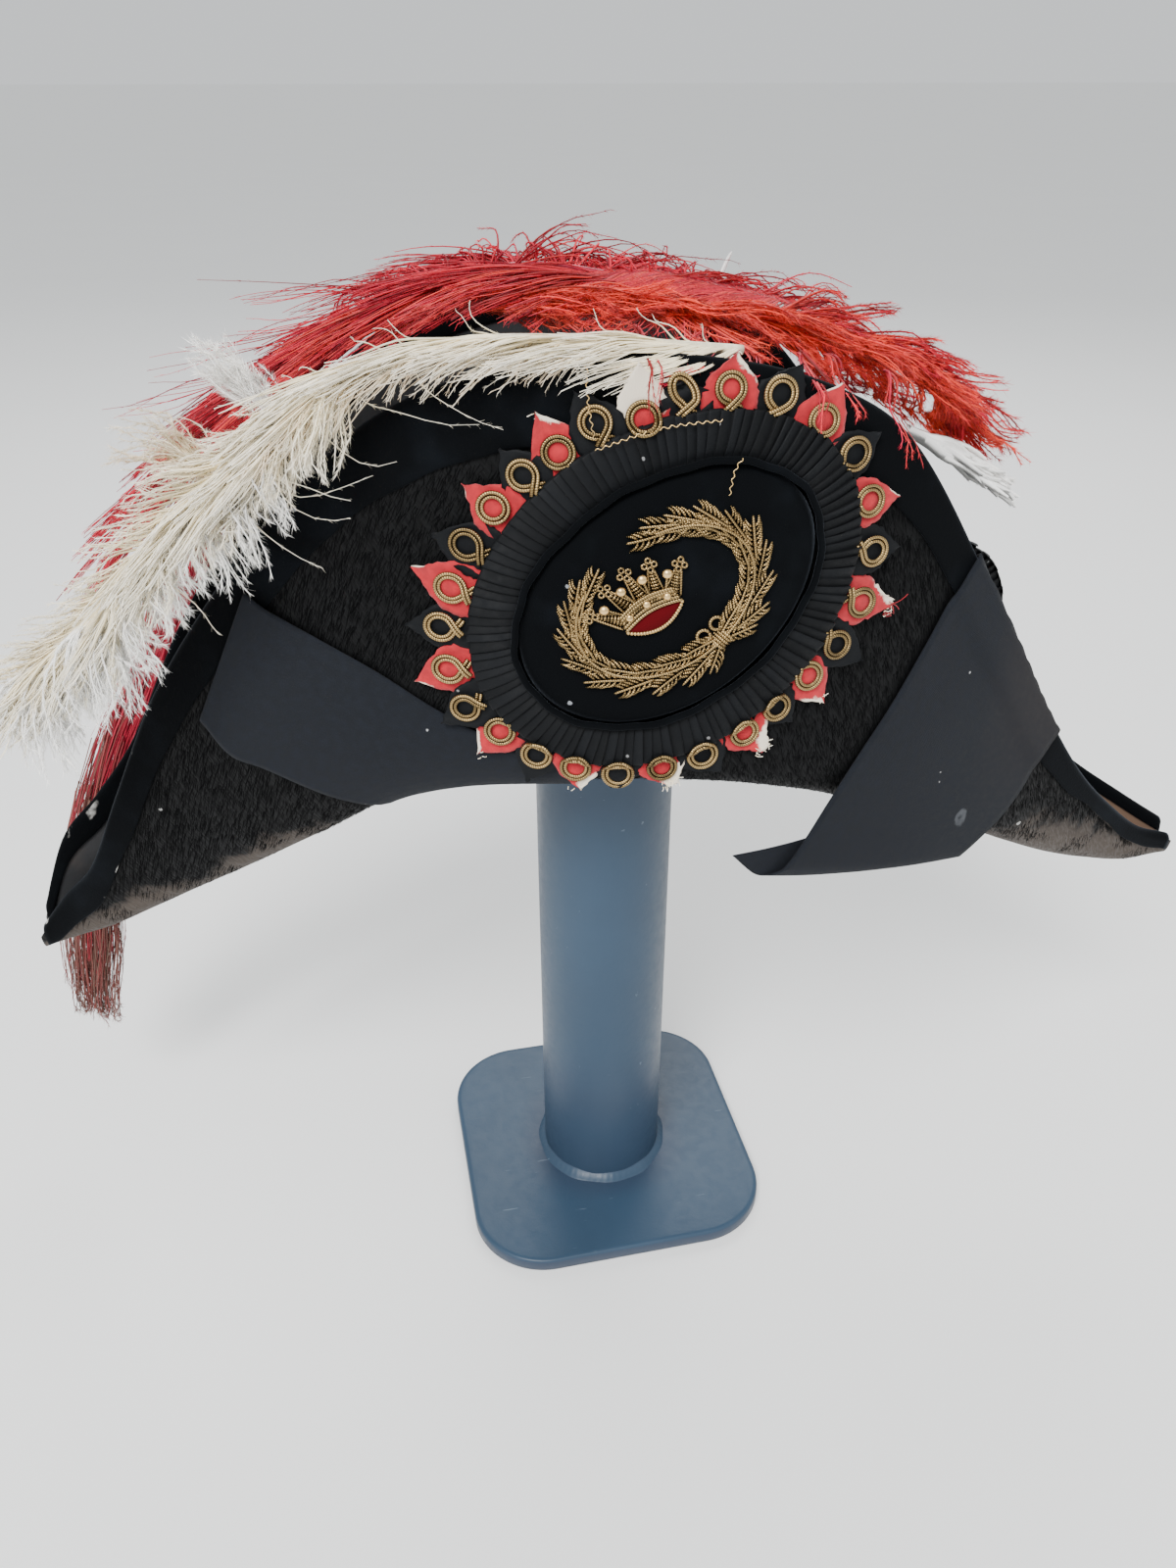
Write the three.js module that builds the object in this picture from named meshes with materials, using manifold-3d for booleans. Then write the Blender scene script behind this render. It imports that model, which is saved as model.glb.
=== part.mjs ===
// A bicorne hat with plumes and an embroidered rosette, resting on a welded steel display stand.
//
// Millimetres, +Z up. The origin is the centre of the base plate's underside, on the post's
// axis. The hat's long axis runs along X and its decorated flap faces -Y. Places on the hat
// are given by x, measured from the middle of the hat, and z, measured from the ground.

import * as THREE from 'three';
import { mergeVertices } from 'three/addons/utils/BufferGeometryUtils.js';
import Module from 'manifold-3d';

const wasm = await Module();
wasm.setup();

// ---------------------------------------------------------------- driving dimensions

const GAP = 0.3; // clearance between two pieces that rest on each other

// Display stand: a tube welded upright on a plate with rounded corners.
const PLATE_SIZE = 124;
const PLATE_THICKNESS = 6;
const PLATE_CORNER = 30;
const PLATE_TURN = THREE.MathUtils.degToRad(3.8); // the plate isn't quite in line with the hat
const POST_RADIUS = 25.4;
const POST_WALL = 3;
const POST_TOP = 329;
const WELD_SIZE = 4;
const WELD_WAIST = 0.45; // share of the weld's size that its hollow face stands out half way up

// Hat body.
const HAT_X = 14; // the middle of the hat lies this far from the post's axis
const HALF_LENGTH = 224.5;
const FELT = 2.5;
const STATIONS = 44; // lengthwise divisions of the brim and its bindings
const MIDDLE_FOLD_HALF = 86; // half width of the brim at its lower fold
const MIDDLE_EDGE_HALF = 74; // half width between the flaps' upper edges
const TIP_FOLD_HALF = 4;
const TIP_EDGE_HALF = 5;
const FOLD_TAPER = 1.5; // how fast the plan narrows towards the two tips
const EDGE_TAPER = 1.3;
const MIDDLE_BEND = 0.12; // share of the underside and flank that the fold rounds off
const TIP_BEND = 0.96;

// Heights along the hat, from its left tip to its right one: the lower fold, and the upper
// edges of the decorated flap and of the plain one.
const OUTLINE = [
  { x: -224.5, fold: 141, near: 148, far: 150 },
  { x: -212, fold: 145, near: 164, far: 180 },
  { x: -198, fold: 150, near: 180, far: 195 },
  { x: -183, fold: 158, near: 210, far: 213 },
  { x: -163, fold: 170, near: 249, far: 249 },
  { x: -143, fold: 183, near: 279, far: 279 },
  { x: -115, fold: 203.5, near: 314, far: 314 },
  { x: -84, fold: 227, near: 343, far: 343 },
  { x: -45, fold: 238.5, near: 357, far: 357 },
  { x: 0, fold: 240.5, near: 358, far: 358 },
  { x: 37, fold: 229.5, near: 348, far: 348 },
  { x: 59, fold: 218, near: 334, far: 334 },
  { x: 95, fold: 197, near: 286, far: 286 },
  { x: 134, fold: 171, near: 230, far: 230 },
  { x: 160, fold: 155.5, near: 197, far: 197 },
  { x: 182, fold: 145.5, near: 175, far: 177 },
  { x: 205, fold: 138.5, near: 156, far: 162 },
  { x: 224.5, fold: 139, near: 147, far: 150 },
];

// Crown: an oval dome that fills the head opening and stands on the post.
const OPENING_HALF_LENGTH = 96;
const OPENING_HALF_WIDTH = 72;
const CROWN_WALL = 2;
const CROWN_SIDES = 36;
const OPENING_CUT_FROM = 180; // heights between which the head opening is cut
const OPENING_CUT_TO = 290;

// The dome's side view: the share of the opening's size and of the full height at each level.
const DOME = [
  { reach: 1, rise: 0 },
  { reach: 0.995, rise: 0.32 },
  { reach: 0.975, rise: 0.6 },
  { reach: 0.93, rise: 0.8 },
  { reach: 0.86, rise: 0.91 },
  { reach: 0.74, rise: 0.975 },
  { reach: 0.56, rise: 1 },
  { reach: 0, rise: 1 },
];

// Velvet binding folded over each flap's upper edge.
const BINDING_WALL = 1;
const BINDING_GAP = 0.45;
const BINDING_OUTSIDE = 18;
const BINDING_INSIDE = 12;
const MOST_BOUND_OUTSIDE = 0.45; // share of the short sections at the tips that it may cover
const MOST_BOUND_INSIDE = 0.35;

// Rosette on the decorated flap.
const ROSETTE = { x: -10, z: 300, turn: THREE.MathUtils.degToRad(35), side: -1 };
const ROSETTE_HALF_LENGTH = 57;
const ROSETTE_HALF_HEIGHT = 43.5;
const PLEAT_WIDTH = 11;
const PIPING_RADIUS = 1.3;
const PETAL_PAIRS = 14;
const PETAL_LIFT = 1.8; // clears the binding, which runs under the top of the rosette
const PETAL_WALL = 1;
const PETAL_FOOT = 3.6; // half width where it goes under the pleats
const PETAL_TUCK = 5;
const PETAL_BULGE = 7.2; // control width of the leaf's round sides
const PETAL_LENGTH = 12.8; // beyond the pleats
const RING_LIFT = PETAL_LIFT + PETAL_WALL + 0.4;

const CLOTH = 1; // ribbon thickness as built

// ---------------------------------------------------------------- materials

function material(color, roughness, metalness = 0) {
  return new THREE.MeshStandardMaterial({ color, roughness, metalness });
}

const STAND_PAINT = material('#55646f', 0.35, 0.3);
const PLUSH = material('#141313', 0.75);
const VELVET = material('#060708', 0.95);
const GROSGRAIN = material('#26282d', 0.85);
const RED_CLOTH = material('#c8353a', 0.85);
const BLACK_CLOTH = material('#1c1d20', 0.85);
const GOLD_BULLION = material('#9b7a45', 0.4, 0.8);
const RED_FEATHER = material('#a82230', 0.8);
const CREAM_FEATHER = material('#e6dcc4', 0.85);

// ---------------------------------------------------------------- general helpers

// A closed solid through a row of rings that all have the same number of points. Rings are
// joined end to end when closed; otherwise each end is capped by joining point k of the ring
// to its opposite, which suits both flat bands and rounded sections.
function loft(rings, closed = false) {
  const width = rings[0].length;
  const corners = [];
  const addFace = (a, b, c) => {
    const flat = a.distanceTo(b) < 1e-3 || b.distanceTo(c) < 1e-3 || c.distanceTo(a) < 1e-3;
    if (!flat) corners.push(a, b, c);
  };
  const addQuad = (a, b, c, d) => {
    addFace(a, b, c);
    addFace(a, c, d);
  };
  const spans = closed ? rings.length : rings.length - 1;
  for (let i = 0; i < spans; i++) {
    const here = rings[i];
    const next = rings[(i + 1) % rings.length];
    for (let k = 0; k < width; k++) {
      const l = (k + 1) % width;
      addQuad(here[k], here[l], next[l], next[k]);
    }
  }
  if (!closed) {
    const first = rings[0];
    const last = rings[rings.length - 1];
    for (let k = 0; k < width / 2 - 1; k++) {
      const m = width - 1 - k;
      addQuad(first[k], first[m], first[m - 1], first[k + 1]);
      addQuad(last[k], last[k + 1], last[m - 1], last[m]);
    }
  }
  return new THREE.BufferGeometry().setFromPoints(corners);
}

// A sheet of even thickness whose middle surface runs through a grid of points.
function sheet(grid, thickness) {
  const lastRow = grid.length - 1;
  const lastColumn = grid[0].length - 1;
  const normalAt = (i, j) => {
    const along = grid[Math.min(i + 1, lastRow)][j].clone().sub(grid[Math.max(i - 1, 0)][j]);
    const across = grid[i][Math.min(j + 1, lastColumn)].clone().sub(grid[i][Math.max(j - 1, 0)]);
    return along.cross(across).normalize();
  };
  const rings = grid.map((row, i) => {
    const shifted = (side) =>
      row.map((point, j) => point.clone().addScaledVector(normalAt(i, j), (side * thickness) / 2));
    return [...shifted(-1), ...shifted(1).reverse()];
  });
  return loft(rings);
}

function toSolid(geometry) {
  const bare = geometry.clone();
  bare.deleteAttribute('normal');
  bare.deleteAttribute('uv');
  const merged = mergeVertices(bare, 1e-4);
  const mesh = new wasm.Mesh({
    numProp: 3,
    vertProperties: new Float32Array(merged.attributes.position.array),
    triVerts: new Uint32Array(merged.index.array),
  });
  return new wasm.Manifold(mesh);
}

function toGeometry(solid) {
  const mesh = solid.getMesh();
  const geometry = new THREE.BufferGeometry();
  geometry.setAttribute('position', new THREE.BufferAttribute(mesh.vertProperties, 3));
  geometry.setIndex(new THREE.BufferAttribute(mesh.triVerts, 1));
  return geometry;
}

const hat = new THREE.Group();

function addPiece(name, geometry, look) {
  const mesh = new THREE.Mesh(geometry, look);
  mesh.name = name;
  hat.add(mesh);
}

// ---------------------------------------------------------------- the form of the brim

const outlineHeights = new THREE.CubicInterpolant(
  OUTLINE.map((row) => row.x),
  OUTLINE.flatMap((row) => [row.fold, row.near, row.far]),
  3,
);

function taper(x, middle, tip, power) {
  return tip + (middle - tip) * Math.cos((Math.PI / 2) * (x / HALF_LENGTH)) ** power;
}

// The sizes of the brim's cross-section at one place along the hat.
function sizesAt(x, side) {
  const [fold, near, far] = outlineHeights.evaluate(x);
  const reach = Math.min(Math.abs(x) / HALF_LENGTH, 1);
  return {
    fold,
    edge: side < 0 ? near : far,
    foldHalf: taper(x, MIDDLE_FOLD_HALF, TIP_FOLD_HALF, FOLD_TAPER),
    edgeHalf: taper(x, MIDDLE_EDGE_HALF, TIP_EDGE_HALF, EDGE_TAPER),
    bend: THREE.MathUtils.lerp(MIDDLE_BEND, TIP_BEND, reach ** 1.5),
  };
}

// Half a cross-section, from the keel outwards round the fold and up to the flap's edge:
// two straight stretches joined by a rounded fold. A negative lift gives the inner face.
function halfSection(x, side, lift) {
  const { fold, edge, foldHalf, edgeHalf, bend } = sizesAt(x, side);
  const keel = new THREE.Vector2(0, fold - lift);
  const corner = new THREE.Vector2(foldHalf + lift, fold - lift);
  const top = new THREE.Vector2(edgeHalf + lift, edge);
  const before = corner.clone().lerp(keel, bend);
  const after = corner.clone().lerp(top, bend);
  const path = new THREE.CurvePath();
  path.add(new THREE.LineCurve(keel, before));
  path.add(new THREE.QuadraticBezierCurve(before, corner, after));
  path.add(new THREE.LineCurve(after, top));
  return path;
}

function onHat(x, side, point) {
  return new THREE.Vector3(HAT_X + x, side * point.x, point.y);
}

// A place on a flap's flank, lifted off it along its outward normal.
function onFlank(x, z, side, lift) {
  const flat = (px, pz) => {
    const { fold, edge, foldHalf, edgeHalf } = sizesAt(px, side);
    const rise = (pz - fold) / (edge - fold);
    const half = THREE.MathUtils.lerp(foldHalf, edgeHalf, rise);
    return new THREE.Vector3(HAT_X + px, side * half, pz);
  };
  const alongX = flat(x + 1, z).sub(flat(x - 1, z));
  const alongZ = flat(x, z + 1).sub(flat(x, z - 1));
  const outward = alongX.cross(alongZ).normalize();
  return flat(x, z).addScaledVector(outward, side < 0 ? lift : -lift);
}

// Bends a flat piece onto a flap. The piece is drawn with x to the right, y up and z out of
// the cloth, as somebody in front of that flap sees it.
function wrapOnFlap(geometry, place) {
  const position = geometry.attributes.position;
  const cos = Math.cos(place.turn);
  const sin = Math.sin(place.turn);
  for (let i = 0; i < position.count; i++) {
    const right = position.getX(i) * cos - position.getY(i) * sin;
    const up = position.getX(i) * sin + position.getY(i) * cos;
    const x = place.x - place.side * right;
    const point = onFlank(x, place.z + up, place.side, position.getZ(i));
    position.setXYZ(i, point.x, point.y, point.z);
  }
  return geometry;
}

function stationX(i, inset = 0) {
  return THREE.MathUtils.lerp(inset - HALF_LENGTH, HALF_LENGTH - inset, i / STATIONS);
}

// ---------------------------------------------------------------- display stand

function makeStand() {
  const half = PLATE_SIZE / 2;
  const inner = half - PLATE_CORNER;
  const outline = new THREE.Shape();
  outline.absarc(inner, inner, PLATE_CORNER, 0, Math.PI / 2);
  outline.absarc(-inner, inner, PLATE_CORNER, Math.PI / 2, Math.PI);
  outline.absarc(-inner, -inner, PLATE_CORNER, Math.PI, 1.5 * Math.PI);
  outline.absarc(inner, -inner, PLATE_CORNER, 1.5 * Math.PI, 2 * Math.PI);
  const plate = new THREE.ExtrudeGeometry(outline, {
    depth: PLATE_THICKNESS,
    bevelEnabled: false,
    curveSegments: 8,
  });
  plate.rotateZ(PLATE_TURN);

  // The tube, open at its hidden top, with the weld bead round its foot.
  const sunk = PLATE_THICKNESS - 1;
  const bore = POST_RADIUS - POST_WALL;
  const profile = [
    [0, sunk],
    [POST_RADIUS + WELD_SIZE, sunk],
    [POST_RADIUS + WELD_SIZE, PLATE_THICKNESS],
    [POST_RADIUS + WELD_SIZE * WELD_WAIST, PLATE_THICKNESS + WELD_SIZE * WELD_WAIST],
    [POST_RADIUS, PLATE_THICKNESS + WELD_SIZE],
    [POST_RADIUS, POST_TOP],
    [bore, POST_TOP],
    [bore, PLATE_THICKNESS],
    [0, PLATE_THICKNESS],
  ].map(([radius, height]) => new THREE.Vector2(radius, height));
  const post = new THREE.LatheGeometry(profile, 48);
  post.rotateX(Math.PI / 2);
  return toGeometry(toSolid(plate).add(toSolid(post)));
}

// ---------------------------------------------------------------- brim and crown

function makeBrim() {
  const acrossHat = (x, lift) => {
    const half = (side) => {
      const [underside, fold, flank] = halfSection(x, side, lift).curves;
      const points = [
        ...underside.getPoints(2),
        ...fold.getPoints(4).slice(1),
        ...flank.getPoints(3).slice(1),
      ];
      return points.map((point) => onHat(x, side, point));
    };
    return [...half(-1).reverse(), ...half(1).slice(1)];
  };
  const rings = [];
  for (let i = 0; i <= STATIONS; i++) {
    const outer = acrossHat(stationX(i), 0);
    const inner = acrossHat(stationX(i, FELT), -FELT);
    rings.push([...outer, ...inner.reverse()]);
  }
  const opening = new THREE.Shape();
  opening.absellipse(0, 0, OPENING_HALF_LENGTH, OPENING_HALF_WIDTH, 0, 2 * Math.PI);
  const cutter = new THREE.ExtrudeGeometry(opening, {
    depth: OPENING_CUT_TO - OPENING_CUT_FROM,
    bevelEnabled: false,
    curveSegments: 18,
  });
  cutter.translate(HAT_X, 0, OPENING_CUT_FROM);
  return toGeometry(toSolid(loft(rings)).subtract(toSolid(cutter)));
}

function makeCrown() {
  const wallFace = (inset, topZ) =>
    DOME.map(({ reach, rise }) => {
      const ring = [];
      for (let k = 0; k < CROWN_SIDES; k++) {
        const turn = (2 * Math.PI * k) / CROWN_SIDES;
        const x = (OPENING_HALF_LENGTH - inset) * Math.cos(turn);
        const y = (OPENING_HALF_WIDTH - inset) * Math.sin(turn);
        const z = THREE.MathUtils.lerp(sizesAt(x, -1).fold, topZ, rise);
        ring.push(new THREE.Vector3(HAT_X + x * reach, y * reach, z));
      }
      return ring;
    });
  const innerTop = POST_TOP + GAP;
  const inner = wallFace(GAP + CROWN_WALL, innerTop);
  const outer = wallFace(GAP, innerTop + CROWN_WALL);
  return loft([...inner.reverse(), ...outer]);
}

// A U-shaped band over one flap's upper edge, following the felt on both faces.
function makeBinding(side) {
  const rings = [];
  for (let i = 1; i < STATIONS; i++) {
    const outerX = stationX(i);
    const innerX = stationX(i, FELT);
    const { edge, edgeHalf } = sizesAt(outerX, side);
    const innerSizes = sizesAt(innerX, side);
    const innerHalf = innerSizes.edgeHalf - FELT;
    const face = (offset) => {
      const outside = halfSection(outerX, side, offset);
      const inside = halfSection(innerX, side, -FELT - offset);
      const outsideDepth = Math.min(BINDING_OUTSIDE / outside.getLength(), MOST_BOUND_OUTSIDE);
      const insideDepth = Math.min(BINDING_INSIDE / inside.getLength(), MOST_BOUND_INSIDE);
      return [
        ...[1, 0.75, 0.5, 0.25].map((share) => outside.getPoint(1 - outsideDepth * share)),
        new THREE.Vector2(edgeHalf + offset, edge),
        new THREE.Vector2(edgeHalf, edge + offset),
      ]
        .map((point) => onHat(outerX, side, point))
        .concat(
          [
            new THREE.Vector2(innerHalf, innerSizes.edge + offset),
            new THREE.Vector2(innerHalf - offset, innerSizes.edge),
            inside.getPoint(1 - insideDepth),
          ].map((point) => onHat(innerX, side, point)),
        );
    };
    const ring = [...face(BINDING_GAP + BINDING_WALL), ...face(BINDING_GAP).reverse()];
    rings.push(side > 0 ? ring : ring.reverse());
  }
  return loft(rings);
}

// ---------------------------------------------------------------- ribbons

// Each row crosses the ribbon from its upper edge to its lower edge. A negative layer is
// the ribbon turned back behind itself, below the hat's fold.
const LEFT_RIBBON = [
  { upperX: -126, upperZ: 294, lowerX: -147, lowerZ: 254, layer: 0 },
  { upperX: -118, upperZ: 288, lowerX: -141, lowerZ: 241, layer: 0 },
  { upperX: -106, upperZ: 282, lowerX: -128, lowerZ: 235, layer: 0 },
  { upperX: -90, upperZ: 274, lowerX: -110, lowerZ: 231, layer: 0 },
  { upperX: -73, upperZ: 264, lowerX: -92, lowerZ: 230, layer: 0 },
  { upperX: -52, upperZ: 249, lowerX: -62, lowerZ: 241, layer: 0 },
];
const RIGHT_RIBBON = [
  { upperX: 80, upperZ: 292, lowerX: 132, lowerZ: 229, layer: 0 },
  { upperX: 71, upperZ: 274, lowerX: 131, lowerZ: 217, layer: 0 },
  { upperX: 61, upperZ: 257, lowerX: 127, lowerZ: 207, layer: 0 },
  { upperX: 51, upperZ: 243, lowerX: 120, lowerZ: 199, layer: 0 },
  { upperX: 41, upperZ: 229, lowerX: 112, lowerZ: 194, layer: 0 },
  { upperX: 30, upperZ: 213, lowerX: 102, lowerZ: 190, layer: 0 },
  { upperX: 28, upperZ: 211, lowerX: 101, lowerZ: 188.5, layer: -1 },
  { upperX: 26, upperZ: 212, lowerX: 98, lowerZ: 190, layer: -2 },
  { upperX: 13, upperZ: 218, lowerX: 84, lowerZ: 200, layer: -2 },
];
const RIBBON_COLUMNS = 6;
const RIBBON_LIFT = 0.5; // from the plush to the ribbon's back
const LAYER_STEP = 1.5;
const OVER_BINDING = 30; // within this far of the flap's edge the ribbon lies on the binding

function makeRibbon(rows) {
  const grid = rows.map((row) => {
    const points = [];
    for (let k = 0; k < RIBBON_COLUMNS; k++) {
      const share = k / (RIBBON_COLUMNS - 1);
      const x = THREE.MathUtils.lerp(row.upperX, row.lowerX, share);
      const z = THREE.MathUtils.lerp(row.upperZ, row.lowerZ, share);
      const depth = sizesAt(x, -1).edge - z;
      const back = depth < OVER_BINDING ? PETAL_LIFT : RIBBON_LIFT;
      points.push(onFlank(x, z, -1, back + CLOTH / 2 + row.layer * LAYER_STEP));
    }
    return points;
  });
  return sheet(grid, CLOTH);
}

// ---------------------------------------------------------------- rosette

// Heights above the cloth at the pleated ring's outer edge, along its crest and at its inner
// edge.
const PLEAT_RIM = 1.2;
const PLEAT_CREST = 2.2;
const PLEAT_INNER = 1.6;
const PIPING_STAND = 1; // lifts the piping's underside off the cloth
const ROSETTE_SIDES = 44;

// A round-trip profile swept round an oval, or closed over its middle when it starts and
// ends there. Each profile row is the inset from the oval's outline and the height.
function ovalSolid(halfLength, halfHeight, profile, closed) {
  const rings = profile.map(({ inset, height }) => {
    const ring = [];
    for (let k = 0; k < ROSETTE_SIDES; k++) {
      const turn = (2 * Math.PI * k) / ROSETTE_SIDES;
      const isMiddle = inset >= halfHeight;
      const x = isMiddle ? 0 : (halfLength - inset) * Math.cos(turn);
      const y = isMiddle ? 0 : (halfHeight - inset) * Math.sin(turn);
      ring.push(new THREE.Vector3(x, y, height));
    }
    return ring;
  });
  return loft(rings, closed);
}

function makePleatedRing() {
  const profile = [
    { inset: 0, height: RING_LIFT },
    { inset: 0, height: RING_LIFT + PLEAT_RIM },
    { inset: PLEAT_WIDTH / 2, height: RING_LIFT + PLEAT_CREST },
    { inset: PLEAT_WIDTH, height: RING_LIFT + PLEAT_INNER },
    { inset: PLEAT_WIDTH, height: RING_LIFT },
  ];
  return ovalSolid(ROSETTE_HALF_LENGTH, ROSETTE_HALF_HEIGHT, profile, true);
}

function makePiping() {
  const sides = 8;
  const middle = PLEAT_WIDTH + GAP + PIPING_RADIUS;
  const profile = [];
  for (let i = 0; i < sides; i++) {
    const turn = (-2 * Math.PI * i) / sides;
    profile.push({
      inset: middle - PIPING_RADIUS * Math.cos(turn),
      height: RING_LIFT + PIPING_STAND + PIPING_RADIUS - PIPING_RADIUS * Math.sin(turn),
    });
  }
  return ovalSolid(ROSETTE_HALF_LENGTH, ROSETTE_HALF_HEIGHT, profile, true);
}

const PAD_INSET = PLEAT_WIDTH + 2 * (GAP + PIPING_RADIUS);
const PAD_HALF_LENGTH = ROSETTE_HALF_LENGTH - PAD_INSET;
const PAD_HALF_HEIGHT = ROSETTE_HALF_HEIGHT - PAD_INSET;
const PAD_THICKNESS = 2.6;
const PAD_SHOULDER = { width: 3, drop: 1 }; // its rounded rim
const PAD_FACET = 14; // width of the strips that let the pad follow the flap's curve
const PAD_TOP = RING_LIFT + PAD_THICKNESS;
const EMBROIDERY_LIFT = PAD_TOP + 0.9; // its wide flat facets cut a little into the pad's curve
const EMBROIDERY_DEPTH = 1.2;

function makePad() {
  const profile = [
    { inset: PAD_HALF_HEIGHT, height: RING_LIFT },
    { inset: PAD_FACET, height: RING_LIFT },
    { inset: 0, height: RING_LIFT },
    { inset: 0, height: PAD_TOP - PAD_SHOULDER.drop },
    { inset: PAD_SHOULDER.width, height: PAD_TOP },
    { inset: PAD_SHOULDER.width + PAD_FACET, height: PAD_TOP },
    { inset: PAD_HALF_HEIGHT, height: PAD_TOP },
  ];
  return ovalSolid(PAD_HALF_LENGTH, PAD_HALF_HEIGHT, profile, false);
}

// A pointed leaf of cloth, its foot tucked under the pleated ring.
function makePetal(index) {
  const outline = new THREE.Shape();
  outline.moveTo(-PETAL_FOOT, -PETAL_TUCK);
  outline.lineTo(PETAL_FOOT, -PETAL_TUCK);
  outline.quadraticCurveTo(PETAL_BULGE, PETAL_LENGTH / 3, 0, PETAL_LENGTH);
  outline.quadraticCurveTo(-PETAL_BULGE, PETAL_LENGTH / 3, -PETAL_FOOT, -PETAL_TUCK);
  const petal = new THREE.ExtrudeGeometry(outline, {
    depth: PETAL_WALL,
    bevelEnabled: false,
    curveSegments: 5,
  });
  const oval = new THREE.EllipseCurve(0, 0, ROSETTE_HALF_LENGTH, ROSETTE_HALF_HEIGHT);
  const around = (0.25 + index / (2 * PETAL_PAIRS)) % 1;
  const foot = oval.getPointAt(around);
  const along = oval.getTangentAt(around);
  petal.rotateZ(Math.atan2(along.y, along.x) - Math.PI);
  petal.translate(foot.x, foot.y, PETAL_LIFT);
  return petal;
}

// Laurel wreath: a band of leaf tips round most of an oval, open at its upper left. The
// angles are in degrees, anticlockwise from the oval's long axis.
const WREATH = {
  halfLength: 34,
  halfHeight: 25.5,
  band: 8,
  from: 120,
  to: 436,
  leaves: 22,
  notch: 1.6, // depth between two leaf tips
  end: 0.3, // width of its two ends, as a share of the band
};

function makeWreath() {
  const { halfLength, halfHeight, band, from, to, leaves, notch, end } = WREATH;
  const at = (share, inset) => {
    const turn = THREE.MathUtils.degToRad(THREE.MathUtils.lerp(from, to, share));
    const x = (halfLength - inset) * Math.cos(turn);
    const y = (halfHeight - inset) * Math.sin(turn);
    return new THREE.Vector2(x, y);
  };
  const outerEdge = [];
  const innerEdge = [];
  for (let i = 0; i <= leaves; i++) {
    const isEnd = i === 0 || i === leaves;
    const narrowing = isEnd ? (band * (1 - end)) / 2 : 0;
    outerEdge.push(at(i / leaves, narrowing));
    innerEdge.push(at(i / leaves, band - narrowing));
    if (i < leaves) {
      outerEdge.push(at((i + 0.5) / leaves, notch));
      innerEdge.push(at((i + 0.5) / leaves, band - notch));
    }
  }
  const outline = new THREE.Shape([...outerEdge, ...innerEdge.reverse()]);
  return new THREE.ExtrudeGeometry(outline, { depth: EMBROIDERY_DEPTH, bevelEnabled: false });
}

// Coronet: a curved band with five spikes, each ending in a bead. Its shape is given as
// shares of half its width and of its height.
const CORONET = {
  x: -4,
  z: 2,
  turn: THREE.MathUtils.degToRad(25),
  halfWidth: 11,
  height: 17,
  spikes: 5,
  bead: 1, // half width of a spike's end
  footReach: 0.8,
  footDip: 0.09,
  valleyReach: 0.85,
  valleyHeight: -0.12,
  sideDrop: 0.25, // how much lower the outermost spikes end
};

function makeCoronet() {
  const { halfWidth, height, spikes, bead } = CORONET;
  const at = (reach, rise) => new THREE.Vector2(reach * halfWidth, rise * height);
  const points = [
    at(-CORONET.footReach, -0.5),
    at(0, -0.5 - CORONET.footDip),
    at(CORONET.footReach, -0.5),
  ];
  const between = 1 / (spikes - 1);
  for (let i = spikes - 1; i >= 0; i--) {
    const lean = THREE.MathUtils.lerp(-1, 1, i * between);
    const tip = at(lean, (1 - CORONET.sideDrop * lean * lean) / 2);
    points.push(tip.clone().add(new THREE.Vector2(bead, -bead)));
    points.push(tip);
    points.push(tip.clone().add(new THREE.Vector2(-bead, -bead)));
    if (i > 0) points.push(at((lean - between) * CORONET.valleyReach, CORONET.valleyHeight));
  }
  const outline = new THREE.Shape(points);
  return new THREE.ExtrudeGeometry(outline, { depth: EMBROIDERY_DEPTH, bevelEnabled: false });
}

// A plain pleated rosette on the other flap.
const COCKADE = { x: 110, z: 228, turn: 0, side: 1 };
const COCKADE_RADIUS = 41;

// Its section from the rim to the middle: distance in from the rim and height off the cloth.
const COCKADE_SECTION = [
  { inset: 0, height: 2 },
  { inset: 10, height: 3.5 },
  { inset: 28, height: 3 },
  { inset: COCKADE_RADIUS, height: 4 },
];
const COCKADE_FACET = 18;

function makeCockade() {
  const profile = [
    { inset: COCKADE_RADIUS, height: PETAL_LIFT },
    { inset: COCKADE_FACET, height: PETAL_LIFT },
    { inset: 0, height: PETAL_LIFT },
    ...COCKADE_SECTION.map(({ inset, height }) => ({ inset, height: PETAL_LIFT + height })),
  ];
  return ovalSolid(COCKADE_RADIUS, COCKADE_RADIUS, profile, false);
}

// ---------------------------------------------------------------- plumes

// The outer form of each ostrich plume: a row for each section along its shaft, with the
// half width across the vane, the half thickness and how far the vane rolls to face out.
// Every table runs from right to left.
const RED_PLUME = [
  { x: 140, y: 4, z: 317, wide: 5, thick: 3, roll: 0 },
  { x: 118, y: 6, z: 322, wide: 22, thick: 8, roll: 0 },
  { x: 84, y: 8, z: 335, wide: 36, thick: 10, roll: 0 },
  { x: 62, y: 9, z: 344, wide: 41, thick: 11, roll: 0 },
  { x: 40, y: 10, z: 349, wide: 44, thick: 15, roll: 0 },
  { x: 0, y: 10, z: 352.8, wide: 45, thick: 21.7, roll: 0 },
  { x: -40, y: 10, z: 352.8, wide: 44, thick: 21.7, roll: 0 },
  { x: -80, y: 8, z: 348, wide: 38, thick: 15, roll: 0 },
  { x: -115, y: 6, z: 338, wide: 28, thick: 11, roll: 0 },
  { x: -148, y: 4, z: 326, wide: 10, thick: 6, roll: 0 },
];
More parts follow.
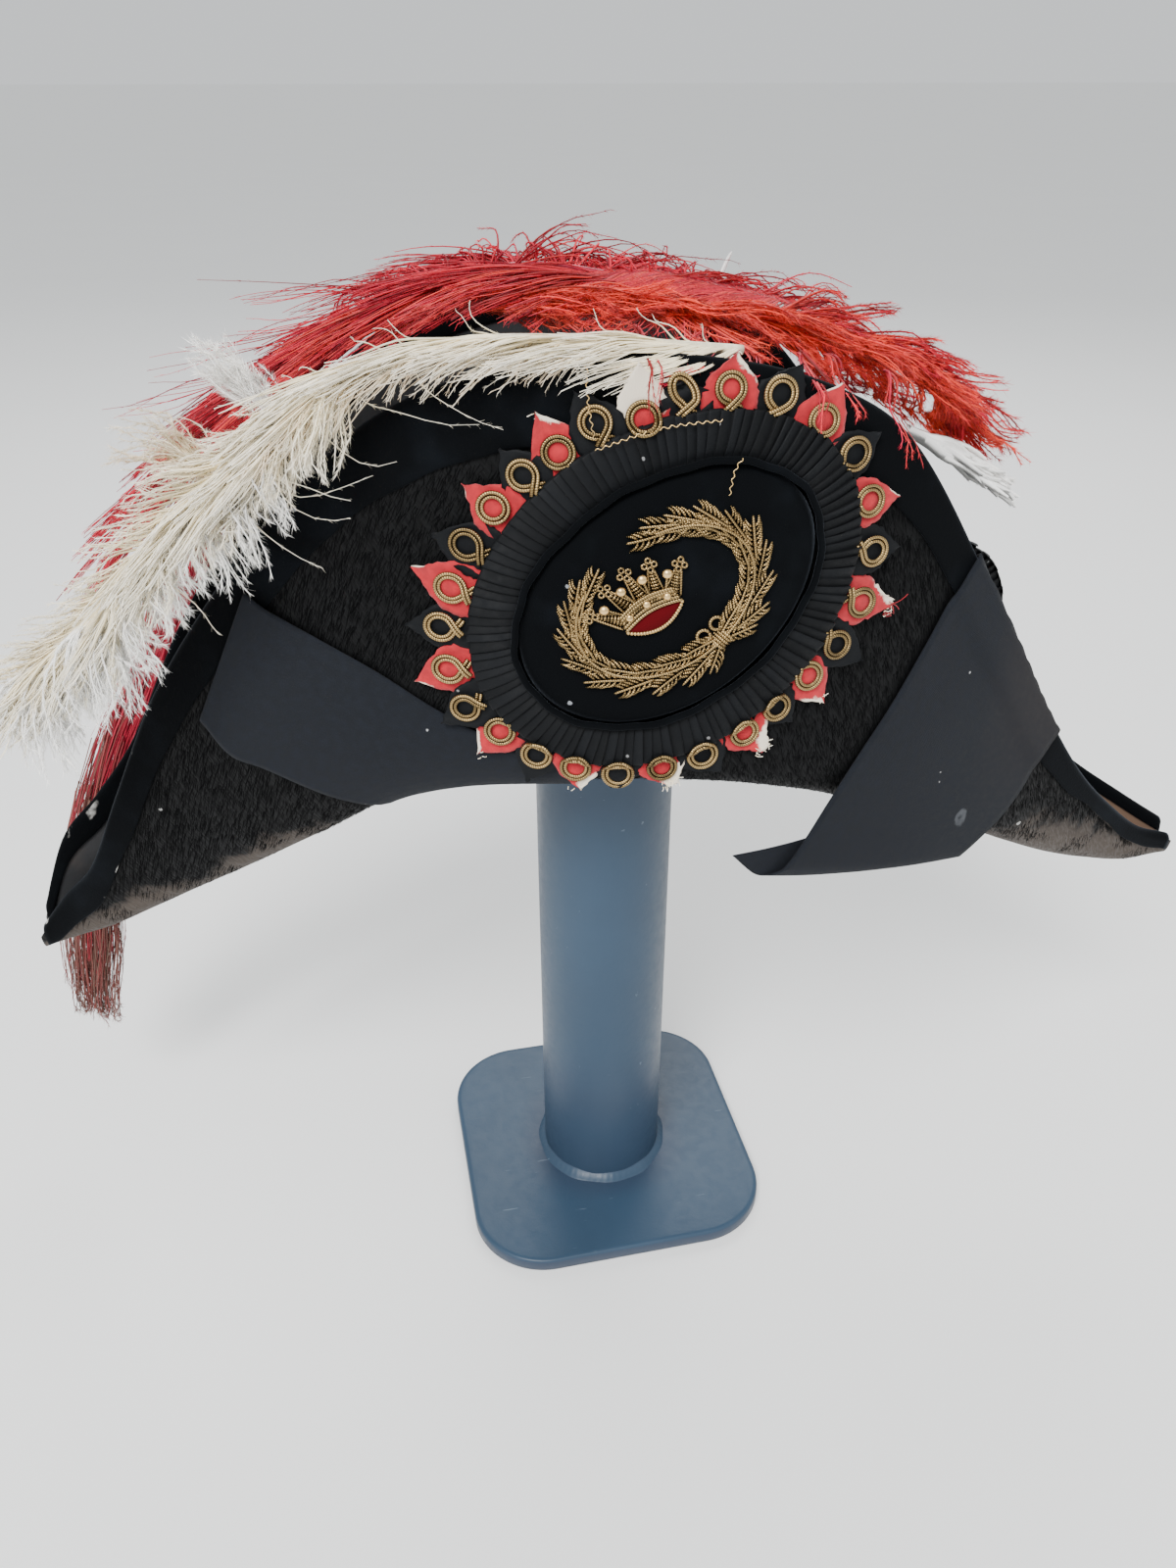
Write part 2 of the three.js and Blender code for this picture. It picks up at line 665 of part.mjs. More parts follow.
const RED_FALL = [
  { x: -108, y: 24, z: 323, wide: 6, thick: 3, roll: 10 },
  { x: -134, y: 38.3, z: 301.8, wide: 13, thick: 5, roll: 30 },
  { x: -155, y: 53, z: 276, wide: 16, thick: 6, roll: 40 },
  { x: -176, y: 52, z: 232, wide: 16, thick: 6, roll: 40 },
  { x: -198, y: 48, z: 194, wide: 16, thick: 6, roll: 40 },
  { x: -217, y: 46, z: 150, wide: 15, thick: 5, roll: 40 },
  { x: -230, y: 48, z: 104, wide: 15, thick: 5, roll: 40 },
  { x: -240, y: 50, z: 58, wide: 9, thick: 3, roll: 40 },
];
const CREAM_PLUME = [
  { x: 30, y: -52, z: 357, wide: 4, thick: 3, roll: 0 },
  { x: 8, y: -53, z: 360, wide: 10, thick: 5, roll: 10 },
  { x: -20, y: -54, z: 363.5, wide: 11, thick: 6, roll: 15 },
  { x: -50, y: -59, z: 366.1, wide: 12, thick: 6, roll: 20 },
  { x: -79, y: -67, z: 358, wide: 14, thick: 6, roll: 40 },
  { x: -97, y: -70, z: 345, wide: 17, thick: 6, roll: 55 },
  { x: -114, y: -68, z: 330, wide: 18, thick: 6, roll: 60 },
  { x: -129, y: -64, z: 313, wide: 18, thick: 6, roll: 60 },
  { x: -146, y: -59, z: 295, wide: 18, thick: 6, roll: 60 },
  { x: -163, y: -53, z: 279, wide: 19, thick: 6, roll: 60 },
  { x: -184, y: -46, z: 265, wide: 20, thick: 6, roll: 60 },
  { x: -206, y: -40, z: 254, wide: 12, thick: 4, roll: 60 },
];
const WHITE_TIP = [
  { x: 136, y: 19, z: 289, wide: 4, thick: 2, roll: 20 },
  { x: 120, y: 14, z: 299, wide: 10, thick: 4, roll: 20 },
  { x: 104, y: 10, z: 310, wide: 8, thick: 4, roll: 10 },
  { x: 88, y: 8, z: 320.7, wide: 3, thick: 2, roll: 0 },
];
const PLUME_SIDES = 12;
const PLUME_STEPS = 20;
const UP = new THREE.Vector3(0, 0, 1);

function makePlume(rows) {
  const shaft = new THREE.CatmullRomCurve3(
    rows.map((row) => new THREE.Vector3(HAT_X + row.x, row.y, row.z)),
  );
  const steps = Math.min(PLUME_STEPS, 2 * (rows.length - 1));
  const rings = [];
  for (let i = 0; i <= steps; i++) {
    const place = (i / steps) * (rows.length - 1);
    const before = rows[Math.min(Math.floor(place), rows.length - 2)];
    const after = rows[rows.indexOf(before) + 1];
    const share = place - rows.indexOf(before);
    const size = (column) => THREE.MathUtils.lerp(before[column], after[column], share);
    const middle = shaft.getPoint(i / steps);
    const along = shaft.getTangent(i / steps);
    const across = along.clone().cross(UP).normalize();
    if (across.y > 0) across.negate(); // the vane's near edge comes first
    const above = along.clone().cross(across).normalize();
    if (above.z < 0) above.negate();
    const roll = THREE.MathUtils.degToRad(size('roll'));
    const vane = across.clone().multiplyScalar(Math.cos(roll)).addScaledVector(above, -Math.sin(roll));
    const depth = across.clone().multiplyScalar(Math.sin(roll)).addScaledVector(above, Math.cos(roll));
    const ring = [];
    for (let k = 0; k < PLUME_SIDES; k++) {
      const turn = (2 * Math.PI * (k + 0.5)) / PLUME_SIDES;
      const point = middle.clone().addScaledVector(vane, size('wide') * Math.cos(turn));
      ring.push(point.addScaledVector(depth, size('thick') * Math.sin(turn)));
    }
    rings.push(ring);
  }
  return loft(rings);
}

// ---------------------------------------------------------------- assembly

addPiece('display_stand', makeStand(), STAND_PAINT);
addPiece('brim', makeBrim(), PLUSH);
addPiece('crown', makeCrown(), PLUSH);
addPiece('binding_front', makeBinding(-1), VELVET);
addPiece('binding_back', makeBinding(1), VELVET);
addPiece('ribbon_left', makeRibbon(LEFT_RIBBON), GROSGRAIN);
addPiece('ribbon_right', makeRibbon(RIGHT_RIBBON), GROSGRAIN);
addPiece('rosette_pleats', wrapOnFlap(makePleatedRing(), ROSETTE), BLACK_CLOTH);
addPiece('rosette_piping', wrapOnFlap(makePiping(), ROSETTE), VELVET);
addPiece('rosette_pad', wrapOnFlap(makePad(), ROSETTE), VELVET);
for (let i = 0; i < 2 * PETAL_PAIRS; i++) {
  const isRed = i % 2 === 0;
  const number = String(Math.floor(i / 2) + 1).padStart(2, '0');
  const name = (isRed ? 'petal_red_' : 'petal_black_') + number;
  addPiece(name, wrapOnFlap(makePetal(i), ROSETTE), isRed ? RED_CLOTH : BLACK_CLOTH);
}
const wreath = makeWreath().translate(0, 0, EMBROIDERY_LIFT);
addPiece('wreath', wrapOnFlap(wreath, ROSETTE), GOLD_BULLION);
const coronet = makeCoronet().rotateZ(CORONET.turn - ROSETTE.turn);
coronet.translate(CORONET.x, CORONET.z, EMBROIDERY_LIFT);
addPiece('coronet', wrapOnFlap(coronet, ROSETTE), GOLD_BULLION);
addPiece('back_cockade', wrapOnFlap(makeCockade(), COCKADE), BLACK_CLOTH);
addPiece('plume_red', makePlume(RED_PLUME), RED_FEATHER);
addPiece('plume_red_fall', makePlume(RED_FALL), RED_FEATHER);
addPiece('plume_cream', makePlume(CREAM_PLUME), CREAM_FEATHER);
addPiece('plume_white_tip', makePlume(WHITE_TIP), CREAM_FEATHER);

export default hat;
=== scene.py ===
"""A bicorne hat with ostrich plumes, ribbons and an embroidered rosette, on a welded steel stand.

Lengths in the tables and in the shape functions are in millimetres, and become metres when a
mesh is made. X runs along the hat, the decorated flap faces -Y and Z is up. Places on the hat
are given by x from the middle of the hat and z from the ground.
"""

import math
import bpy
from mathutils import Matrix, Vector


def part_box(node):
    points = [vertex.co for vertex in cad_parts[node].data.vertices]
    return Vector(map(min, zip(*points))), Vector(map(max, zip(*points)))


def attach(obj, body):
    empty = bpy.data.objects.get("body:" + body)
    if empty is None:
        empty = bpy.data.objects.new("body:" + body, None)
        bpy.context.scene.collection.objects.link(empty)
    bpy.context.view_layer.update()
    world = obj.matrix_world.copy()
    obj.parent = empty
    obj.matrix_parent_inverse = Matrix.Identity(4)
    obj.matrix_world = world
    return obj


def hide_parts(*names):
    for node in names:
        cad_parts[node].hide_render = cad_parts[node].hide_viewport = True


bl_info = {
    "name": "Bicorne hat on stand",
    "version": (1, 0, 0),
    "blender": (4, 5, 0),
    "location": "View3D > Sidebar > Bicorne",
    "description": "Builds a plumed bicorne hat with an embroidered rosette on its display stand",
    "category": "Object",
}

import bmesh
import bpy
import numpy as np
from bpy.props import FloatProperty, FloatVectorProperty, IntProperty, PointerProperty

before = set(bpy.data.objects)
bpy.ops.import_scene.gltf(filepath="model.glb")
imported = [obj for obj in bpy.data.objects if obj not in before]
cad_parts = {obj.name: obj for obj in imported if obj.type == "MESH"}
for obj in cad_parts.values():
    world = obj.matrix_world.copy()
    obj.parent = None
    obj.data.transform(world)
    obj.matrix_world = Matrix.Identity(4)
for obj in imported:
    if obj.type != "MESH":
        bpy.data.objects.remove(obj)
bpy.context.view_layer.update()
STAND_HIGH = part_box("display_stand")[1]

MM = 0.001
BODY = "root"
UP = np.array([0.0, 0.0, 1.0])
FULL_TURN = 2 * np.pi

# ---------------- sizes of the hat's body

HAT_X = 14.0  # the middle of the hat lies this far from the post's axis
HALF_LENGTH = 224.5
FELT = 2.5
MIDDLE_FOLD_HALF, TIP_FOLD_HALF, FOLD_TAPER = 86.0, 4.0, 1.5
MIDDLE_EDGE_HALF, TIP_EDGE_HALF, EDGE_TAPER = 74.0, 5.0, 1.3
MIDDLE_BEND, TIP_BEND = 0.12, 0.96
OPENING_HALF_LENGTH, OPENING_HALF_WIDTH = 96.0, 72.0
NEAR, FAR = -1, 1


def table(*rows):
    return np.array(rows, float)


# Heights along the hat: x, the lower fold, and the edges of the decorated and the plain flap.
OUTLINE = table(
    (-224.5, 141, 148, 150), (-212, 145, 164, 180), (-198, 150, 180, 195), (-183, 158, 210, 213),
    (-163, 170, 249, 249), (-143, 183, 279, 279), (-115, 203.5, 314, 314), (-84, 227, 343, 343),
    (-45, 238.5, 357, 357), (0, 240.5, 358, 358), (37, 229.5, 348, 348), (59, 218, 334, 334),
    (95, 197, 286, 286), (134, 171, 230, 230), (160, 155.5, 197, 197), (182, 145.5, 175, 177),
    (205, 138.5, 156, 162), (224.5, 139, 147, 150),
)

# The crown's side view: shares of the opening's size and of the full height.
DOME = table(
    (1, 0), (0.995, 0.32), (0.975, 0.6), (0.93, 0.8), (0.86, 0.91), (0.74, 0.975), (0.56, 1),
    (0.3, 1), (0, 1),
)
CROWN_TOP, CROWN_WALL = 331.3, 2.0

# Where the plush has rubbed down to its brown backing, up from the lower fold: x, how high it
# reaches, and how strong it is.
FOLD_WEAR = table(
    (-224, 5, 0.9), (-205, 16, 0.8), (-185, 19, 0.95), (-160, 11, 0.75), (-135, 19, 0.9),
    (-115, 15, 0.75), (-98, 6, 0.3), (-60, 3, 0.1), (90, 4, 0.1), (120, 20, 0.55),
    (150, 30, 0.85), (190, 26, 0.95), (224, 12, 0.95),
)

ROSETTE = {"x": -10.0, "z": 300.0, "turn": math.radians(35), "side": NEAR}
COCKADE = {"x": 110.0, "z": 228.0, "turn": 0.0, "side": FAR}
OVAL = OVAL_LENGTH, OVAL_HEIGHT = 57.0, 43.5  # half sizes of the pleated ring
PAD_LENGTH, PAD_HEIGHT = 42.8, 29.3
PETAL_LIFT, RING_LIFT, PAD_LIFT = 1.8, 3.2, 5.8

# The rosette's leaves, anticlockwise from the middle of its upper side. The turn is round the
# oval, the reach is how far the point stands out from the pleats, the loop is how far out its
# cord's middle lies, lean is in degrees, and fray is the share that has lost its colour.
PETAL_COLUMNS = ("turn", "reach", "loop", "lean", "fray")
PETAL_TABLE = [
    (91, 15.2, 4.1, 3, 0.3), (101, 13.9, 5.3, 2, 0), (112, 15, 5.3, 1, 0.12), (124, 15.5, 6, 5, 0),
    (137, 16.8, 5.9, 0, 0.1), (149, 17, 7.4, 3, 0), (162, 17.6, 6.9, 6, 0.14), (175, 15.9, 7, 6, 0),
    (187, 14, 3.4, 3, 0.3), (201, 12.4, 2.8, 0, 0), (214, 9.6, 2.2, 12, 0.42),
    (227, 6.8, 2.6, 2, 0), (240, 8.6, 1.9, 12, 0.5), (252, 10.4, 2.2, 14, 0),
    (265, 11.2, 2.4, 9, 0.4), (276, 10.4, 2.6, 1, 0), (288, 14, 3.2, -6, 0.3),
    (299, 16.7, 5, -3, 0), (312, 17, 6, 1, 0.34), (327, 14, 5.1, 7, 0), (343, 12.8, 3.4, -2, 0.16),
    (0, 12.2, 3.4, 0, 0), (16, 13, 3.2, 0, 0.14), (32, 13.4, 4.8, -9, 0),
    (46, 13.9, 4.9, -3, 0.34), (58, 12, 5.5, -12, 0), (69, 15.5, 1.7, -6, 0.8),
    (80, 14.7, 5.6, 4, 0),
]
PETAL_STATES = {11: "short", 12: "frayed", 14: "frayed", 18: "torn", 25: "crumpled"}
PETALS = [
    dict(zip(PETAL_COLUMNS, row), state=PETAL_STATES.get(index, "whole"))
    for index, row in enumerate(PETAL_TABLE)
]
CLOSED_LOOPS = {0, 2, 10, 12, 15, 20, 22}  # leaves whose cord is a plain ring

# Each row crosses a ribbon: x and z of its upper edge, x and z of its lower one, and its layer,
# which is negative behind the ribbon's front.
LEFT_RIBBON = table(
    (-126, 294, -147, 249, 0), (-118, 288, -139, 238, 0), (-106, 282, -128, 235, 0),
    (-90, 274, -111, 229, 0), (-73, 264, -95, 224, 0), (-50, 253, -76, 215, 0),
    (-30, 247, -54, 214, 0),
)
RIGHT_RIBBON = table(
    (89, 303, 143, 236, 0), (80, 290, 140, 227, 0), (71, 274, 132, 217, 0), (61, 257, 127, 207, 0),
    (51, 243, 120, 199, 0), (41, 229, 112, 194, 0), (30, 213, 102, 190, 0),
    (26, 209, 100, 188.5, -1), (20, 209, 92, 194, -2), (12, 217, 52, 218, -2),
)

# Each plume's outer form, from right to left: its middle x, y and z, the half width across the
# vane, the half thickness and how far the vane rolls to face outwards, in degrees.
RED_FORM = table(
    (140, 4, 317, 5, 3, 0), (118, 6, 322, 22, 8, 0), (84, 8, 335, 36, 10, 0),
    (62, 9, 344, 41, 11, 0), (40, 10, 349, 44, 15, 0), (0, 10, 352.8, 45, 21.7, 0),
    (-40, 10, 352.8, 44, 21.7, 0), (-80, 8, 348, 38, 15, 0), (-115, 6, 338, 28, 11, 0),
    (-148, 4, 326, 10, 6, 0),
)
FALL_FORM = table(
    (-108, 24, 323, 7, 4, 10), (-134, 38.3, 301.8, 15, 7, 30), (-155, 53, 276, 18, 8, 40),
    (-176, 52, 232, 16, 7, 50), (-198, 48, 194, 15, 7, 65), (-216, 46, 150, 17, 7, 80),
    (-226, 47, 104, 20, 8, 88), (-233, 49, 68, 17, 6, 90),
)

# ---------------- settings


def shade_of(name, description, rgb):
    return FloatVectorProperty(
        name=name, description=description, default=(*rgb, 1), subtype="COLOR", size=4, min=0, max=1
    )


def size_of(name, description, default):
    return FloatProperty(
        name=name, description=description, default=default, min=0, unit="LENGTH", precision=5
    )


class StandSettings(bpy.types.PropertyGroup):
    """Sizes and paint of the display stand"""

    plate_size: size_of("Plate size", "Side of the square base plate", 0.124)
    plate_thickness: size_of("Plate thickness", "Thickness of the base plate", 0.006)
    post_radius: size_of("Post radius", "Outer radius of the upright tube", 0.0254)
    post_top: size_of("Post top", "Height of the tube's hidden top", STAND_HIGH.z)
    paint: shade_of("Paint", "Colour of the stand's paint", (0.028, 0.054, 0.09))


class HatSettings(bpy.types.PropertyGroup):
    """Cloths of the hat's body"""

    plush: shade_of("Plush", "Colour of the silk plush", (0.0018, 0.0019, 0.0021))
    worn_plush: shade_of("Worn plush", "Colour of the plush's bare backing", (0.06, 0.048, 0.04))
    velvet: shade_of("Velvet", "Colour of the bindings and the oval", (0.0012, 0.0016, 0.0022))
    ribbon: shade_of("Ribbon", "Colour of the grosgrain ribbons", (0.0072, 0.0085, 0.012))
    binding_outside: size_of("Binding outside", "Width of the velvet outside a flap", 0.018)
    binding_inside: size_of("Binding inside", "Width of the velvet inside a flap", 0.012)


class RosetteSettings(bpy.types.PropertyGroup):
    """Sizes and colours of the rosette and the cockade"""

    pleats: IntProperty(
        name="Pleats", description="Number of knife pleats round the ring", default=112, min=12
    )
    pleat_width: size_of("Pleat width", "Width of the pleated ring", 0.011)
    cord_radius: size_of("Cord radius", "Radius of one strand of the gold cord", 0.00054)
    red: shade_of("Red cloth", "Colour of the red leaves", (0.5, 0.014, 0.024))
    black: shade_of("Black cloth", "Colour of the black cloth", (0.0028, 0.0032, 0.0039))
    gold: shade_of("Gold thread", "Colour of the tarnished gold thread", (0.5, 0.345, 0.155))


class PlumeSettings(bpy.types.PropertyGroup):
    """Colours and fullness of the plumes"""

    red: shade_of("Red plume", "Colour of the red ostrich plumes", (0.4, 0.009, 0.034))
    orange: shade_of("Faded red", "Colour of the red plume where it faded", (0.74, 0.065, 0.032))
    cream: shade_of("Cream plume", "Colour of the cream ostrich plume", (0.95, 0.85, 0.61))
    white: shade_of("White tips", "Colour of the plume's white ends", (0.98, 0.97, 0.94))
    fullness: FloatProperty(
        name="Fullness", description="Share of the barbs that grow", default=1.0, min=0.1,
        max=1.0, subtype="FACTOR",
    )


class StageSettings(bpy.types.PropertyGroup):
    """Floor and light"""

    floor: shade_of("Floor", "Colour of the floor", (0.94, 0.94, 0.93))
    light: FloatProperty(name="Light", description="Strength of the light", default=1.0, min=0)


SETTINGS = {
    "stand_settings": StandSettings,
    "hat_settings": HatSettings,
    "rosette_settings": RosetteSettings,
    "plume_settings": PlumeSettings,
    "stage_settings": StageSettings,
}


def settings(name):
    return getattr(bpy.context.scene, name + "_settings")


# ---------------- meshes


def unit(vectors):
    return vectors / np.maximum(np.linalg.norm(vectors, axis=-1, keepdims=True), 1e-9)


def left_of(heading):
    return np.array([-heading[1], heading[0]])


def turned(x, y, angle):
    """Turns flat places round the origin."""
    cos, sin = math.cos(angle), math.sin(angle)
    return x * cos - y * sin, x * sin + y * cos


def oval_at(angles, half_length=1.0, half_height=1.0):
    across, up = half_length * np.cos(angles), half_height * np.sin(angles)
    return np.stack(np.broadcast_arrays(across, up), -1)


def lifted(flat, z):
    """Flat places with their heights."""
    return np.stack(np.broadcast_arrays(flat[..., 0], flat[..., 1], z), -1)


def marks(mark, shade=0.0, share=0.0):
    """What the shaders read at each point: a random shade, a share of the way, and a mark, which
    holds wear and fraying, and painted shade deep in the pleats.
    """
    return np.stack(np.broadcast_arrays(shade, share, mark), -1)


def even_turns(count):
    return FULL_TURN * np.arange(count) / count


def run_along(points):
    """How far each point lies along a path."""
    steps = np.linalg.norm(np.diff(points, axis=-2), axis=-1)
    return np.concatenate([np.zeros(steps.shape[:-1] + (1,)), np.cumsum(steps, -1)], -1)


def spread_uv(run, across):
    return np.stack(np.broadcast_arrays(run, across), -1)


def smooth_rows(points, dense):
    """A smooth curve through the rows, with the same number of points for each span."""
    points = np.asarray(points, float)
    first, last = 2 * points[0] - points[1], 2 * points[-1] - points[-2]
    padded = np.concatenate([[first], points, [last]])
    spans = len(points) - 1
    t = np.linspace(0, spans, spans * dense + 1)
    i = np.minimum(t.astype(int), spans - 1)
    f = (t - i)[:, None]
    a, b, c, d = (padded[i + k] for k in range(4))
    bend = (2 * a - 5 * b + 4 * c - d) * f**2 + (3 * b - a - 3 * c + d) * f**3
    return 0.5 * (2 * b + (c - a) * f + bend)


def smooth_path(points, count):
    """Evenly spaced points on a smooth curve through the given ones."""
    dense = smooth_rows(points, 12)
    run = run_along(dense)
    at = np.linspace(0, run[-1], count)
    return np.stack([np.interp(at, run, part) for part in dense.T], 1)


def quads(a, b, c, d):
    return np.stack([a, b, c, d], -1).reshape(-1, 4)


def grid_faces(rows, columns, around=False):
    """Quads over a grid of points, which may be closed across the rows."""
    across = np.arange(columns if around else columns - 1)
    i, j = np.meshgrid(np.arange(rows - 1) * columns, across, indexing="ij")
    ahead = (j + 1) % columns
    return quads(i + j, i + ahead, i + columns + ahead, i + columns + j)


def closed_faces(rows, columns):
    """Faces over rings of points, closed at both ends."""
    first = np.arange(columns)
    last = first + (rows - 1) * columns
    return [grid_faces(rows, columns, around=True), first[None, ::-1], last[None]]


class Work:
    """Points and faces of one piece while it is being made."""

    def __init__(self):
        self.points, self.uvs, self.tones = [], [], []
        self.faces, self.finishes = [], []
        self.count = 0

    def add(self, points, faces, uv=(0, 0), tone=(0, 0, 0), finish_index=0):
        points = np.asarray(points, float).reshape(-1, 3)
        total = len(points)
        self.points.append(points)
        for store, values, width in ((self.uvs, uv, 2), (self.tones, tone, 3)):
            values = np.asarray(values, float).reshape(-1, width)
            store.append(np.broadcast_to(values, (total, width)))
        for part in faces:
            self.add_faces(np.asarray(part) + self.count, finish_index)
        self.count += total

    def add_faces(self, faces, finish_index):
        self.faces.extend(faces.tolist())
        self.finishes.append(np.full(len(faces), finish_index))

    def mesh(self, name, finishes):
        mesh = bpy.data.meshes.new(name)
        mesh.from_pydata((np.concatenate(self.points) * MM).tolist(), [], self.faces)
        corner_point = np.empty(len(mesh.loops), np.int32)
        mesh.loops.foreach_get("vertex_index", corner_point)
        uvs = np.concatenate(self.uvs)[corner_point]
        mesh.uv_layers.new(name="UVMap").data.foreach_set("uv", uvs.ravel())
        tones = np.pad(np.concatenate(self.tones), ((0, 0), (0, 1)), constant_values=1)
        attribute = mesh.attributes.new("tone", "FLOAT_COLOR", "POINT")
        attribute.data.foreach_set("color", tones.ravel())
        indices = np.concatenate(self.finishes).astype(np.int32)
        mesh.polygons.foreach_set("material_index", indices)
        mesh.polygons.foreach_set("use_smooth", np.full(len(mesh.polygons), True))
        for kind in finishes:
            mesh.materials.append(finish(kind))
        return mesh

    def piece(self, name, finishes, slot, *stands_for, weld=0.0):
        """Makes the piece. The CAD parts that it stands for are hidden."""
        mesh = self.mesh(name, finishes)
        if weld:
            weld_points(mesh, weld * MM)
        mesh.update()
        piece = link(name, mesh)
        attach(piece, BODY)
        if stands_for:
            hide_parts(*stands_for)
        return piece


def link(name, data):
    made = bpy.data.objects.new(name, data)
    bpy.context.scene.collection.objects.link(made)
    return made


def weld_points(mesh, distance):
    """Merges points that lie together and removes the faces that this leaves flat."""
    work = bmesh.new()
    work.from_mesh(mesh)
    bmesh.ops.remove_doubles(work, verts=work.verts, dist=distance)
    bmesh.ops.dissolve_degenerate(work, edges=work.edges, dist=distance / 10)
    work.to_mesh(mesh)
    work.free()


def surface(piece):
    return sum(face.area for face in piece.data.polygons)


def tube_points(paths, radii, sides, normal=None):
    """Rings of points round many paths at once, with their UVs along and around in millimetres."""
    count, steps = paths.shape[:2]
    along = unit(np.gradient(paths, axis=1))
    if normal is None:
        mean = unit(paths[:, -1] - paths[:, 0])
        helper = np.where(np.abs(mean[:, 2:3]) < 0.8, UP, np.array([1.0, 0, 0]))
        normal = unit(np.cross(mean, helper))[:, None, :]
    across = unit(np.cross(along, np.broadcast_to(normal, along.shape)))
    above = np.cross(across, along)
    cos, sin = oval_at(even_turns(sides)).T[:, None, None, :, None]
    ring = cos * across[:, :, None] + sin * above[:, :, None]
    radii = np.broadcast_to(radii, (count, steps))[..., None, None]
    uv = spread_uv(run_along(paths)[:, :, None], np.arange(sides) / sides)
    return paths[:, :, None] + radii * ring, uv


def tube_faces(count, steps, sides, caps=True):
    one = grid_faces(steps, sides, around=True)[:, ::-1]
    starts = (np.arange(count) * steps * sides)[:, None, None]
    faces = [(one[None] + starts).reshape(-1, 4)]
    if caps:
        ring = np.arange(sides)
        last = ring[::-1][None] + starts[:, 0] + (steps - 1) * sides
        faces += [ring[None] + starts[:, 0], last]
    return faces


def as_they_are(points):
    return points


def add_tubes(
    work, paths, radii, sides, tones=((0, 0, 0),), finish_index=0, shape=as_they_are, normal=None,
    caps=True, pale=0.0,
):
    """Adds a tube along each path. A shape function may bend all its points afterwards."""
    paths = np.asarray(paths, float)
    count, steps = paths.shape[:2]
    points, uv = tube_points(paths, radii, sides, normal)
    tone = np.zeros((count, steps, sides, 3)) + np.asarray(tones, float)[:, None, None]
    tone[..., 1] = np.linspace(pale, 1, steps)[:, None]
    faces = tube_faces(count, steps, sides, caps)
    work.add(shape(points.reshape(-1, 3)), faces, uv, tone, finish_index)


def rim_faces(ring, total):
    """Quads between a closed ring of points and the same ring of the second skin."""
    ahead = np.roll(ring, -1)
    return quads(ring, ring + total, ahead + total, ahead)


def add_sheet(work, front, back, uv, tone):
    """Adds a closed thin sheet from its front and back grids of points."""
    rows, columns = front.shape[:2]
    index = np.arange(rows * columns).reshape(rows, columns)
    rim = [index[0], index[1:, -1], index[-1, -2::-1], index[-2:0:-1, 0]]
    face = grid_faces(rows, columns)
    faces = [face, face[:, ::-1] + index.size, rim_faces(np.concatenate(rim), index.size)]
    work.add(np.stack([front, back]), faces, np.stack([uv, uv]), np.stack([tone, tone]))


# ---------------- form of the brim


def heights_at(x):
    """Heights of the lower fold, the near edge and the far edge at each place along the hat."""
    station, value = OUTLINE[:, 0], OUTLINE[:, 1:]
    last = len(station) - 1
    x = np.clip(np.asarray(x, float), station[0], station[-1])
    i = np.clip(np.searchsorted(station, x, side="right"), 1, last)
    t0, t1 = station[i - 1], station[i]
    before = np.where(i >= 2, i - 2, i)
    after = np.where(i + 1 <= last, i + 1, i - 1)
    p = (x - t0) / (t1 - t0)
    half = (t1 - t0) / 2
    wide_before = half / (t0 - station[before])
    wide_after = half / (station[after] - t1)
    cube, square = p**3, p**2
    share_before = -wide_before * cube + 2 * wide_before * square - wide_before * p
    share_here = (1 + wide_before) * cube + (-1.5 - 2 * wide_before) * square
    share_here = share_here + (-0.5 + wide_before) * p + 1
    share_next = (-1 - wide_after) * cube + (1.5 + wide_after) * square + 0.5 * p
    share_after = wide_after * cube - wide_after * square
    shares = (share_before, share_here, share_next, share_after)
    rows = (value[before], value[i - 1], value[i], value[after])
    return sum(share[..., None] * row for share, row in zip(shares, rows))


def sizes_at(x, side):
    """Fold height, edge height, half widths at the fold and at the edge, and the fold's bend."""
    x = np.asarray(x, float)
    heights = heights_at(x)
    level = np.clip(np.cos(np.pi / 2 * x / HALF_LENGTH), 0, 1)
    fold_half = TIP_FOLD_HALF + (MIDDLE_FOLD_HALF - TIP_FOLD_HALF) * level**FOLD_TAPER
    edge_half = TIP_EDGE_HALF + (MIDDLE_EDGE_HALF - TIP_EDGE_HALF) * level**EDGE_TAPER
    reach = np.minimum(np.abs(x) / HALF_LENGTH, 1) ** 1.5
    bend = MIDDLE_BEND + (TIP_BEND - MIDDLE_BEND) * reach
    return heights[..., 0], heights[..., 1 if side < 0 else 2], fold_half, edge_half, bend


def ripple(x, z, side):
    """How far the old, soft flap waves out of its true form."""
    wave = np.sin(x / 29 + 1.3 * side) * np.sin(z / 23 + x / 61)
    return 0.55 * wave + 0.3 * np.sin(x / 13.1 + z / 17.3 + side)


UNDER_COLUMNS, BOW_COLUMNS, FLANK_COLUMNS = 7, 12, 19


